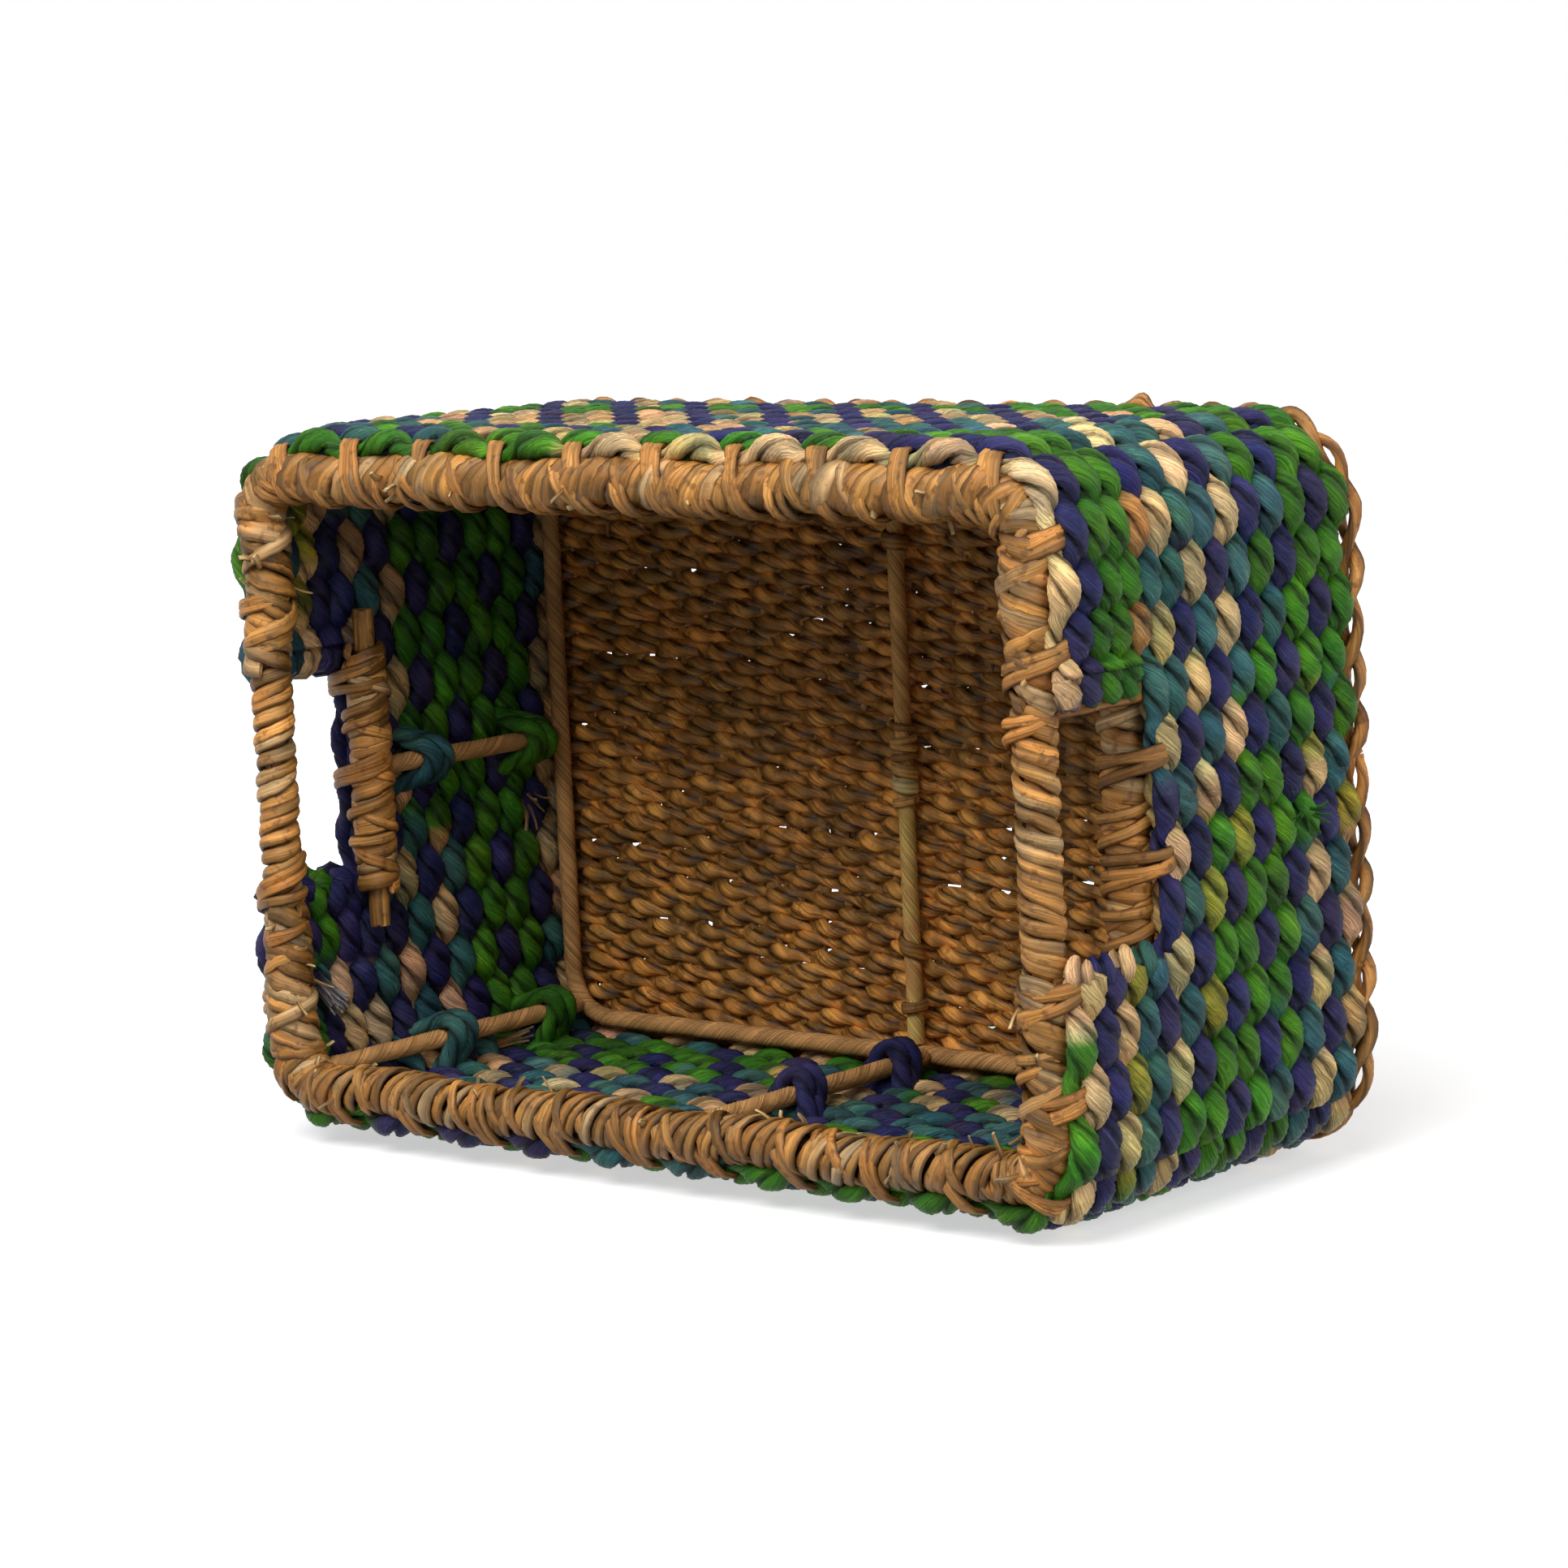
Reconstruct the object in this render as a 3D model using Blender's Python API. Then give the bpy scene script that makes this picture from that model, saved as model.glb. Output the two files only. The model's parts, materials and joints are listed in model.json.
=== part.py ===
"""Rectangular seagrass basket with two cut-out handles.

A wrapped wire frame stands inside a woven wall. The wall is a stack of courses, each of which
stands for two rounds of cord. The floor is a woven panel with a raised edging under the wall,
and leaf strips wrap the rim, the two grips and the two sills of the handle openings.
Metres, +Z up, standing on z = 0, with the long sides along X.
"""

import math

import bmesh
import bpy
from mathutils import Vector

# Clearance between pieces that touch, and round an upright that enters a leaf wrap
TOUCH_GAP = 0.0003
UPRIGHT_CLEARANCE = 0.0006

# Wire frame, measured between the centre lines of its rods, and how far each wall leans in at its foot
ROD_DIAMETER = 0.009
RIM_LENGTH = 0.398
RIM_WIDTH = 0.252
SHORT_WALL_LEAN = 0.003
LONG_WALL_LEAN = 0.002
ROD_CORNER_RADIUS = 0.020
CROSSBAR_OFFSET = -0.002
LONG_UPRIGHT_OFFSET = 0.005

# Woven floor and the edging that it stands on
EDGING_HEIGHT = 0.009
EDGING_WIDTH = 0.012
EDGING_OVERHANG = 0.003
FLOOR_RISE = 0.0033
FLOOR_THICKNESS = 0.011

# Woven wall
WALL_THICKNESS = 0.0172
FULL_COURSE_COUNT = 9
FULL_COURSE_PITCH = 0.01444
HANDLE_COURSE_COUNT = 4
HANDLE_COURSE_PITCH = 0.0123

# Handle openings, grips and sills
HANDLE_SPAN = 0.100
SILL_BAR_OVERLAP = 0.018
SILL_BAR_DROP = 0.007
SILL_WRAP_COVER = 0.0036
SILL_WRAP_HEIGHT = 0.0095
SILL_WRAP_LIP = 0.007
GRIP_STRIP_THICKNESS = 0.0031
GRIP_STRIP_WIDTH = 0.0041
GRIP_TURN_COUNT = 20

# Leaf wrap along the rim
RIM_ROD_DROP = 0.0029
RIM_WRAP_INNER_COVER = 0.0058
RIM_WRAP_OUTER_COVER = 0.0027
RIM_WRAP_TOP_COVER = 0.0055
RIM_WRAP_BOTTOM_COVER = 0.0046
RIM_WRAP_LIP = 0.0045

# Cord lashings that hold the frame to the wall and the crossbar to the floor
LASHING_DIAMETER = 0.0055

# Overrun of a cutter past the faces that it cuts
CUTTER_OVERRUN = 0.004

# Where the lashings sit, as shares of the upright that they hold
TALL_LASHING_SHARES = {"lower": 0.12, "upper": 0.50}
SHORT_LASHING_SHARES = {"lower": 0.16, "upper": 0.76}
CROSSBAR_TIE_SHARE = 0.04

# Outlines of the swept sections, clockwise, as shares of half their width and height
COURSE_SHARES = [(1, 0.45), (1, -0.45), (0.6, -1), (-0.6, -1),
                 (-1, -0.45), (-1, 0.45), (-0.6, 1), (0.6, 1)]
EDGING_SHARES = [(1, 0.1), (0.8, -0.7), (0.45, -1), (-0.45, -1),
                 (-0.9, -0.5), (-1, 0.2), (-0.5, 1), (0.5, 1)]
WRAP_CORNER_SHARE = 0.45
STRIP_EDGE_SHARE = 0.5

# Rounded end of a cut course: way back from its tip, as shares of half the wall's thickness, and size there
COURSE_NOSE_SHARES = [(0, 0.6), (0.4, 0.88), (1, 1)]

CORNER_STEPS = 4
GRIP_TURN_STEPS = 10
LASHING_STEPS = 6

ROD_RADIUS = ROD_DIAMETER / 2
LASHING_RADIUS = LASHING_DIAMETER / 2
BASE_RING_LENGTH = RIM_LENGTH - 2 * SHORT_WALL_LEAN
BASE_RING_WIDTH = RIM_WIDTH - 2 * LONG_WALL_LEAN
WALL_OFFSET = ROD_RADIUS + TOUCH_GAP + WALL_THICKNESS / 2
BASE_RING_HEIGHT = FLOOR_RISE + FLOOR_THICKNESS + TOUCH_GAP + ROD_RADIUS
WALL_BOTTOM = EDGING_HEIGHT + TOUCH_GAP
SILL_TOP = WALL_BOTTOM + FULL_COURSE_COUNT * FULL_COURSE_PITCH
WALL_TOP = SILL_TOP + HANDLE_COURSE_COUNT * HANDLE_COURSE_PITCH
SILL_HEIGHT = SILL_TOP - SILL_BAR_DROP
RIM_HEIGHT = WALL_TOP - RIM_ROD_DROP

# Colours, as linear red, green and blue, with roughness
FINISHES = {
    "rod_paper": ((0.21, 0.115, 0.05), 0.75),
    "floor_leaf": ((0.19, 0.095, 0.03), 0.7),
    "rim_leaf": ((0.53, 0.27, 0.1), 0.6),
    "natural_cord": ((0.5, 0.3, 0.14), 0.65),
    "cream_cord": ((0.68, 0.5, 0.31), 0.65),
    "navy_cord": ((0.022, 0.026, 0.12), 0.55),
    "teal_cord": ((0.035, 0.12, 0.16), 0.55),
    "green_cord": ((0.05, 0.22, 0.02), 0.55),
    "lime_cord": ((0.28, 0.36, 0.06), 0.6),
}

# Colour of each full course, from the floor up to the sills
FULL_COURSE_FINISHES = ["natural_cord", "teal_cord", "navy_cord", "green_cord", "navy_cord", "green_cord",
                        "lime_cord", "teal_cord", "cream_cord"]

# Colours of the cut courses on either side of the handle openings, from the sills up to the rim
HANDLE_COURSE_FINISHES = {
    "back": ["green_cord", "green_cord", "navy_cord", "cream_cord"],
    "front": ["natural_cord", "navy_cord", "lime_cord", "green_cord"],
}


def clear_scene():
    """Remove every object of the scene that the file opened with."""
    for scene_object in list(bpy.data.objects):
        bpy.data.objects.remove(scene_object)


def new_collection(name):
    """Add a collection to the scene."""
    collection = bpy.data.collections.new(name)
    bpy.context.scene.collection.children.link(collection)
    return collection


def new_material(name):
    """Make the plain material of one finish."""
    color, roughness = FINISHES[name]
    material = bpy.data.materials.new(name)
    material.use_nodes = True
    shader = material.node_tree.nodes["Principled BSDF"]
    shader.inputs["Base Color"].default_value = (*color, 1)
    shader.inputs["Roughness"].default_value = roughness
    shader.inputs["Metallic"].default_value = 0
    return material


clear_scene()
basket = new_collection("seagrass_basket")
guides = new_collection("cutters_and_sections")
finishes = {name: new_material(name) for name in FINISHES}


def add_object(name, data, collection):
    """Put mesh or curve data in a collection as a named object."""
    new_object = bpy.data.objects.new(name, data)
    collection.objects.link(new_object)
    if collection is guides:
        new_object.hide_render = True
        new_object.display_type = "WIRE"
    return new_object


def add_piece(name, data, finish):
    """Put one piece of the basket in its collection, with its material."""
    piece = add_object(name, data, basket)
    piece.data.materials.append(finishes[finish])
    return piece


def line_curve(name, points, closed, sizes=None):
    """Make a polyline curve that keeps its section upright, with a section size at each point."""
    curve = bpy.data.curves.new(name, "CURVE")
    curve.dimensions = "3D"
    curve.twist_mode = "Z_UP"
    curve.bevel_resolution = 2
    curve.use_fill_caps = not closed
    spline = curve.splines.new("POLY")
    spline.points.add(len(points) - 1)
    for curve_point, place, size in zip(spline.points, points, sizes or [1] * len(points)):
        curve_point.co = (*place, 1)
        curve_point.radius = size
    spline.use_cyclic_u = closed
    spline.use_smooth = True
    return curve


def rod_curve(name, points, closed=False, radius=ROD_RADIUS):
    """Make a round rod along points."""
    curve = line_curve(name, points, closed)
    curve.bevel_depth = radius
    return curve


def section_outline(name, corners):
    """Make the closed flat outline that a sweep carries along its path."""
    curve = bpy.data.curves.new(name, "CURVE")
    curve.dimensions = "2D"
    spline = curve.splines.new("POLY")
    spline.points.add(len(corners) - 1)
    for curve_point, (across, up) in zip(spline.points, corners):
        curve_point.co = (across, up, 0, 1)
    spline.use_cyclic_u = True
    return add_object(name, curve, guides)


def swept_curve(name, points, closed, section, sizes=None):
    """Carry a section along points: its X points outward and its Y points up."""
    curve = line_curve(name, points, closed, sizes)
    curve.bevel_mode = "OBJECT"
    curve.bevel_object = section
    return curve


def mesh_from_curve(curve):
    """Turn curve data into a closed mesh with its caps welded on."""
    carrier = add_object(curve.name + "_carrier", curve, guides)
    graph = bpy.context.evaluated_depsgraph_get()
    mesh = bpy.data.meshes.new_from_object(carrier.evaluated_get(graph))
    mesh.name = curve.name
    bpy.data.objects.remove(carrier)
    shape = bmesh.new()
    shape.from_mesh(mesh)
    bmesh.ops.remove_doubles(shape, verts=shape.verts[:], dist=TOUCH_GAP / 100)
    bmesh.ops.recalc_face_normals(shape, faces=shape.faces[:])
    bmesh.ops.triangulate(shape, faces=shape.faces[:])
    shape.to_mesh(mesh)
    shape.free()
    return mesh


def cut(piece, cutter_mesh):
    """Take a cutter's shape out of a piece."""
    cutter = add_object(piece.name + "_" + cutter_mesh.name, cutter_mesh, guides)
    modifier = piece.modifiers.new("cut", "BOOLEAN")
    modifier.operation = "DIFFERENCE"
    modifier.solver = "EXACT"
    modifier.object = cutter


def frame_half_sizes(height):
    """Half length and half width of the frame's centre line at a height."""
    share = (height - BASE_RING_HEIGHT) / (RIM_HEIGHT - BASE_RING_HEIGHT)
    half_length = (BASE_RING_LENGTH + share * (RIM_LENGTH - BASE_RING_LENGTH)) / 2
    half_width = (BASE_RING_WIDTH + share * (RIM_WIDTH - BASE_RING_WIDTH)) / 2
    return half_length, half_width


def loop_points(height, offset):
    """Counter-clockwise rounded rectangle that runs an offset outside the frame."""
    half_length, half_width = frame_half_sizes(height)
    points = []
    for side_x, side_y, start_turn in ((1, 1, 0), (-1, 1, 1), (-1, -1, 2), (1, -1, 3)):
        centre_x = side_x * (half_length - ROD_CORNER_RADIUS)
        centre_y = side_y * (half_width - ROD_CORNER_RADIUS)
        centre = Vector((centre_x, centre_y, height))
        for step in range(CORNER_STEPS + 1):
            angle = (start_turn + step / CORNER_STEPS) * math.pi / 2
            outward = Vector((math.cos(angle), math.sin(angle), 0))
            points.append(centre + (ROD_CORNER_RADIUS + offset) * outward)
    return points


def half_loop_points(height, offset, side, end_distance):
    """The part of a loop on one long side, from one handle opening to the other."""
    points = [point for point in loop_points(height, offset) if point.y * side > 0]
    points.sort(key=lambda point: side * math.atan2(point.y * side, point.x))
    half_length = frame_half_sizes(height)[0] + offset
    first = Vector((side * half_length, side * end_distance, height))
    last = Vector((-side * half_length, side * end_distance, height))
    return [first, *points, last]


def corner_point(side_x, side_y, height):
    """Middle of a corner of the frame's centre line."""
    half_length, half_width = frame_half_sizes(height)
    inset = ROD_CORNER_RADIUS * (1 - math.cos(math.pi / 4))
    return Vector((side_x * (half_length - inset), side_y * (half_width - inset), height))


def build_frame_rods():
    """The wrapped wire frame: two loops, a crossbar, eight uprights and two sill bars."""
    rim_points = loop_points(RIM_HEIGHT, 0)
    add_piece("rim_rod", rod_curve("rim_rod", rim_points, closed=True), "rod_paper")
    ring_points = loop_points(BASE_RING_HEIGHT, 0)
    add_piece("base_ring_rod", rod_curve("base_ring_rod", ring_points, closed=True), "rod_paper")

    bar_reach = BASE_RING_WIDTH / 2 - ROD_RADIUS - TOUCH_GAP
    bar_points = [Vector((CROSSBAR_OFFSET, side * bar_reach, BASE_RING_HEIGHT)) for side in (-1, 1)]
    add_piece("base_crossbar", rod_curve("base_crossbar", bar_points), "rod_paper")

    for name, (low, high) in upright_lines().items():
        add_piece(name, rod_curve(name, [low, high]), "rod_paper")

    for side_name, side in (("left", -1), ("right", 1)):
        name = "sill_bar_" + side_name
        add_piece(name, rod_curve(name, sill_bar_points(side)), "rod_paper")


def upright_lines():
    """Lower and upper end of each upright, by name."""
    low = BASE_RING_HEIGHT + ROD_RADIUS + TOUCH_GAP
    high = RIM_HEIGHT - ROD_RADIUS - TOUCH_GAP
    sill = SILL_HEIGHT - ROD_RADIUS - TOUCH_GAP
    lines = {}
    for end_name, side_x in (("left", -1), ("right", 1)):
        for side_name, side_y in (("front", -1), ("back", 1)):
            name = f"corner_upright_{side_name}_{end_name}"
            lines[name] = (corner_point(side_x, side_y, low), corner_point(side_x, side_y, high))
        ends = [Vector((side_x * frame_half_sizes(height)[0], 0, height)) for height in (low, sill)]
        lines["sill_upright_" + end_name] = tuple(ends)
    for side_name, side_y in (("front", -1), ("back", 1)):
        ends = [Vector((LONG_UPRIGHT_OFFSET, side_y * frame_half_sizes(height)[1], height))
                for height in (low, high)]
        lines["long_side_upright_" + side_name] = tuple(ends)
    return lines


def sill_bar_points(side):
    """Ends of the bar under a handle opening."""
    half_length = frame_half_sizes(SILL_HEIGHT)[0]
    reach = HANDLE_SPAN / 2 + SILL_BAR_OVERLAP
    return [Vector((side * half_length, -side * reach, SILL_HEIGHT)),
            Vector((side * half_length, side * reach, SILL_HEIGHT))]


def build_floor():
    """The woven floor panel inside the wall, and the edging that the basket stands on."""
    outline = bpy.data.curves.new("woven_floor", "CURVE")
    outline.dimensions = "2D"
    outline.fill_mode = "BOTH"
    outline.extrude = FLOOR_THICKNESS / 2
    points = loop_points(BASE_RING_HEIGHT, ROD_RADIUS)
    spline = outline.splines.new("POLY")
    spline.points.add(len(points) - 1)
    for curve_point, place in zip(spline.points, points):
        curve_point.co = (place.x, place.y, 0, 1)
    spline.use_cyclic_u = True
    panel = add_piece("woven_floor", outline, "floor_leaf")
    panel.location.z = FLOOR_RISE + FLOOR_THICKNESS / 2

    half_width = EDGING_WIDTH / 2
    half_height = EDGING_HEIGHT / 2
    section = section_outline("edging_section", [(half_width * x, half_height * y) for x, y in EDGING_SHARES])
    points = loop_points(half_height, WALL_OFFSET + EDGING_OVERHANG)
    add_piece("foot_edging", swept_curve("foot_edging", points, True, section), "rim_leaf")


def course_section(name, thickness, pitch):
    """Outline of a course's section, a touch gap lower than its pitch."""
    half_thickness = thickness / 2
    half_height = (pitch - TOUCH_GAP) / 2
    return section_outline(name, [(half_thickness * x, half_height * y) for x, y in COURSE_SHARES])


def cut_course_path(height, offset, side):
    """Points of a course that turns back at both handle openings, and its size at each of them."""
    inner_points = half_loop_points(height, offset, side, HANDLE_SPAN / 2)[1:-1]
    half_length = frame_half_sizes(height)[0] + offset
    noses = []
    for along_share, size_share in COURSE_NOSE_SHARES:
        distance = HANDLE_SPAN / 2 + along_share * WALL_THICKNESS / 2
        noses.append((distance, size_share))
    first = [Vector((side * half_length, side * distance, height)) for distance, size in noses]
    last = [Vector((-side * half_length, side * distance, height)) for distance, size in reversed(noses)]
    nose_sizes = [size for distance, size in noses]
    sizes = [*nose_sizes, *[1] * len(inner_points), *reversed(nose_sizes)]
    return [*first, *inner_points, *last], sizes


def build_full_courses():
    """The wall's full rings of cord, from the floor up to the sills of the handle openings."""
    section = course_section("full_section", WALL_THICKNESS, FULL_COURSE_PITCH)
    for index in range(FULL_COURSE_COUNT):
        height = WALL_BOTTOM + (index + 0.5) * FULL_COURSE_PITCH
        finish = FULL_COURSE_FINISHES[index % len(FULL_COURSE_FINISHES)]
        name = f"wall_course_{index + 1:02d}"
        add_piece(name, swept_curve(name, loop_points(height, WALL_OFFSET), True, section), finish)


def build_cut_courses():
    """The courses beside the handle openings. The top one leaves room for the rim wrap on its inner side."""
    wall_section = course_section("handle_section", WALL_THICKNESS, HANDLE_COURSE_PITCH)
    rim_section = course_section("rim_section", WALL_THICKNESS - RIM_WRAP_OUTER_COVER, HANDLE_COURSE_PITCH)
    for side_name, side in (("front", -1), ("back", 1)):
        side_finishes = HANDLE_COURSE_FINISHES[side_name]
        for index in range(HANDLE_COURSE_COUNT):
            is_top = index == HANDLE_COURSE_COUNT - 1
            section = rim_section if is_top else wall_section
            offset = WALL_OFFSET + RIM_WRAP_OUTER_COVER / 2 if is_top else WALL_OFFSET
            finish = side_finishes[index % len(side_finishes)]
            name = f"wall_course_{FULL_COURSE_COUNT + index + 1:02d}_{side_name}"
            height = SILL_TOP + (index + 0.5) * HANDLE_COURSE_PITCH
            points, sizes = cut_course_path(height, offset, side)
            add_piece(name, mesh_from_curve(swept_curve(name, points, False, section, sizes)), finish)


def upright_bore_ends(low, high, wrap_depth):
    """Ends of the bore for an upright, from below a wrap up to the middle of the rod inside it."""
    rise = (high - low).normalized()
    middle = high + rise * (ROD_RADIUS + TOUCH_GAP)
    return [middle - rise * (wrap_depth + CUTTER_OVERRUN), middle]


def build_rim_wraps():
    """The leaf wraps round the rim rod, with a lip on the wall's top edge, cut where the frame passes."""
    inner = ROD_RADIUS + RIM_WRAP_INNER_COVER
    outer = ROD_RADIUS + RIM_WRAP_OUTER_COVER
    top = ROD_RADIUS + RIM_WRAP_TOP_COVER
    bottom = ROD_RADIUS + RIM_WRAP_BOTTOM_COVER
    seat = WALL_TOP + TOUCH_GAP - RIM_HEIGHT
    lip = outer + RIM_WRAP_LIP
    share = WRAP_CORNER_SHARE
    corners = [(lip, (seat + top) / 2), (lip, seat), (outer, seat), (outer, -bottom * share),
               (outer * share, -bottom), (-inner * share, -bottom), (-inner, -bottom * share),
               (-inner, top * share), (-inner * share, top), (outer, top)]
    section = section_outline("rim_wrap_section", corners)
    for side_name, side in (("front", -1), ("back", 1)):
        name = "rim_wrap_" + side_name
        points = half_loop_points(RIM_HEIGHT, 0, side, HANDLE_SPAN / 2)
        wrap = add_piece(name, mesh_from_curve(swept_curve(name, points, False, section)), "rim_leaf")
        core = half_loop_points(RIM_HEIGHT, 0, side, HANDLE_SPAN / 2 - CUTTER_OVERRUN)
        cut(wrap, mesh_from_curve(rod_curve("rod_bore", core, radius=ROD_RADIUS + TOUCH_GAP)))
        for rod_name, (low, high) in upright_lines().items():
            if side_name in rod_name.split("_"):
                ends = upright_bore_ends(low, high, bottom)
                bore = rod_curve("bore_" + rod_name, ends, radius=ROD_RADIUS + UPRIGHT_CLEARANCE)
                cut(wrap, mesh_from_curve(bore))


def build_sill_wraps():
    """The leaf wraps round the sill bars, with a lip on the sill course below each opening."""
    inner = ROD_RADIUS + SILL_WRAP_COVER
    lip = ROD_RADIUS + SILL_WRAP_LIP
    seat = SILL_TOP + TOUCH_GAP - SILL_HEIGHT
    share = WRAP_CORNER_SHARE
    corners = [(lip, seat), (ROD_RADIUS, seat), (ROD_RADIUS, -SILL_WRAP_HEIGHT),
               (-inner * share, -SILL_WRAP_HEIGHT), (-inner, -SILL_WRAP_HEIGHT * share),
               (-inner, SILL_WRAP_HEIGHT * share), (-inner * share, SILL_WRAP_HEIGHT),
               (ROD_RADIUS, SILL_WRAP_HEIGHT), (lip, (seat + SILL_WRAP_HEIGHT) / 2)]
    section = section_outline("sill_wrap_section", corners)
    reach = HANDLE_SPAN / 2 - TOUCH_GAP
    for side_name, side in (("left", -1), ("right", 1)):
        name = "sill_wrap_" + side_name
        low, high = sill_bar_points(side)
        start = Vector((low.x, -side * reach, low.z))
        end = Vector((high.x, side * reach, high.z))
        wrap = add_piece(name, mesh_from_curve(swept_curve(name, [start, end], False, section)), "rim_leaf")
        cut(wrap, mesh_from_curve(rod_curve("bar_bore", [low, high], radius=ROD_RADIUS + TOUCH_GAP)))
        low, high = upright_lines()["sill_upright_" + side_name]
        ends = upright_bore_ends(low, high, SILL_WRAP_HEIGHT)
        cut(wrap, mesh_from_curve(rod_curve("upright_bore", ends, radius=ROD_RADIUS + UPRIGHT_CLEARANCE)))


def strip_winding(name):
    """One leaf strip wound along +Z round a rod in a single unbroken helix, both ends closed."""
    turn_angle = 2 * math.pi / GRIP_TURN_STEPS
    inner = (ROD_RADIUS + TOUCH_GAP) / math.cos(turn_angle / 2)
    middle = inner + GRIP_STRIP_THICKNESS / 2
    outer = inner + GRIP_STRIP_THICKNESS
    half_width = GRIP_STRIP_WIDTH / 2
    edge = half_width * STRIP_EDGE_SHARE
    length = HANDLE_SPAN - 2 * TOUCH_GAP
    pitch = (length - GRIP_STRIP_WIDTH) / GRIP_TURN_COUNT
    print("least gap between turns of", name, "in mm:", round((pitch - GRIP_STRIP_WIDTH) * 1000, 2))
    start = half_width - length / 2
    outline = [(inner, -edge), (middle, -half_width), (outer, -edge),
               (outer, edge), (middle, half_width), (inner, edge)]
    shape = bmesh.new()
    corners = [shape.verts.new((radius, 0, start + along)) for radius, along in outline]
    profile = shape.faces.new(corners)
    step_rise = Vector((0, 0, pitch / GRIP_TURN_STEPS))
    bmesh.ops.spin(shape, geom=[profile], cent=(0, 0, 0), axis=(0, 0, 1), dvec=step_rise,
                   angle=2 * math.pi * GRIP_TURN_COUNT, steps=GRIP_TURN_STEPS * GRIP_TURN_COUNT)
    bmesh.ops.recalc_face_normals(shape, faces=shape.faces[:])
    mesh = bpy.data.meshes.new(name)
    shape.to_mesh(mesh)
    shape.free()
    mesh.shade_smooth()
    mesh.set_sharp_from_angle(angle=math.radians(50))
    return mesh


def build_grips():
    """The two grips: the rim rod alone, wound with a leaf strip across each opening."""
    for side_name, side in (("left", -1), ("right", 1)):
        name = "grip_winding_" + side_name
        grip = add_piece(name, strip_winding(name), "rim_leaf")
        grip.location = (side * RIM_LENGTH / 2, 0, RIM_HEIGHT)
        grip.rotation_euler.x = math.pi / 2


def lashing_points(centre, outward, across, reach):
    """A cord's arch over a rod, with both ends running outward to a reach from the rod's centre."""
    radius = ROD_RADIUS + TOUCH_GAP + LASHING_RADIUS
    points = [centre + across * radius + outward * reach]
    for step in range(LASHING_STEPS + 1):
        angle = math.pi * step / LASHING_STEPS
        points.append(centre + radius * (across * math.cos(angle) - outward * math.sin(angle)))
    points.append(centre - across * radius + outward * reach)
    return points


def build_lashings():
    """Two dyed cord lashings on each upright, and a leaf tie over the crossbar."""
    colors = {"lower": "green_cord", "upper": "teal_cord"}
    side_reach = ROD_RADIUS
    arch_radius = ROD_RADIUS + TOUCH_GAP + LASHING_DIAMETER
    wall_radius = ROD_CORNER_RADIUS + ROD_RADIUS
    corner_reach = math.sqrt(wall_radius ** 2 - arch_radius ** 2) - ROD_CORNER_RADIUS - TOUCH_GAP
    for rod_name, (low, high) in upright_lines().items():
        shares = SHORT_LASHING_SHARES if rod_name.startswith("sill") else TALL_LASHING_SHARES
        rise = (high - low).normalized()
        if rod_name.startswith("corner"):
            outward = Vector((math.copysign(1, low.x), math.copysign(1, low.y), 0))
            reach = corner_reach
        elif rod_name.startswith("sill"):
            outward = Vector((math.copysign(1, low.x), 0, 0))
            reach = side_reach
        else:
            outward = Vector((0, math.copysign(1, low.y), 0))
            reach = side_reach
        outward = (outward - rise * outward.dot(rise)).normalized()
        across = rise.cross(outward)
        for place, share in shares.items():
            name = f"lashing_{place}_{rod_name}"
            color = "navy_cord" if rod_name.startswith("long") else colors[place]
            points = lashing_points(low.lerp(high, share), outward, across, reach)
            add_piece(name, rod_curve(name, points, radius=LASHING_RADIUS), color)

    centre = Vector((CROSSBAR_OFFSET, CROSSBAR_TIE_SHARE * BASE_RING_WIDTH, BASE_RING_HEIGHT))
    points = lashing_points(centre, Vector((0, 0, -1)), Vector((1, 0, 0)), ROD_RADIUS)
    add_piece("crossbar_tie", rod_curve("crossbar_tie", points, radius=LASHING_RADIUS), "rim_leaf")


build_frame_rods()
build_floor()
build_full_courses()
build_cut_courses()
build_rim_wraps()
build_sill_wraps()
build_grips()
build_lashings()
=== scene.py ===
"""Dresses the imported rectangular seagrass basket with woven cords, leaf wraps and a studio.

The basket lies on its front long wall, with its open top towards the camera, so the pale
floor stands just outside that wall. Metres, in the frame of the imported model.
"""

import json
import logging
import math
import random
from dataclasses import dataclass, field, replace
from enum import Enum
from itertools import accumulate
from typing import Callable, Iterable, Sequence

import bpy
from mathutils import Matrix, Vector


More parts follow.
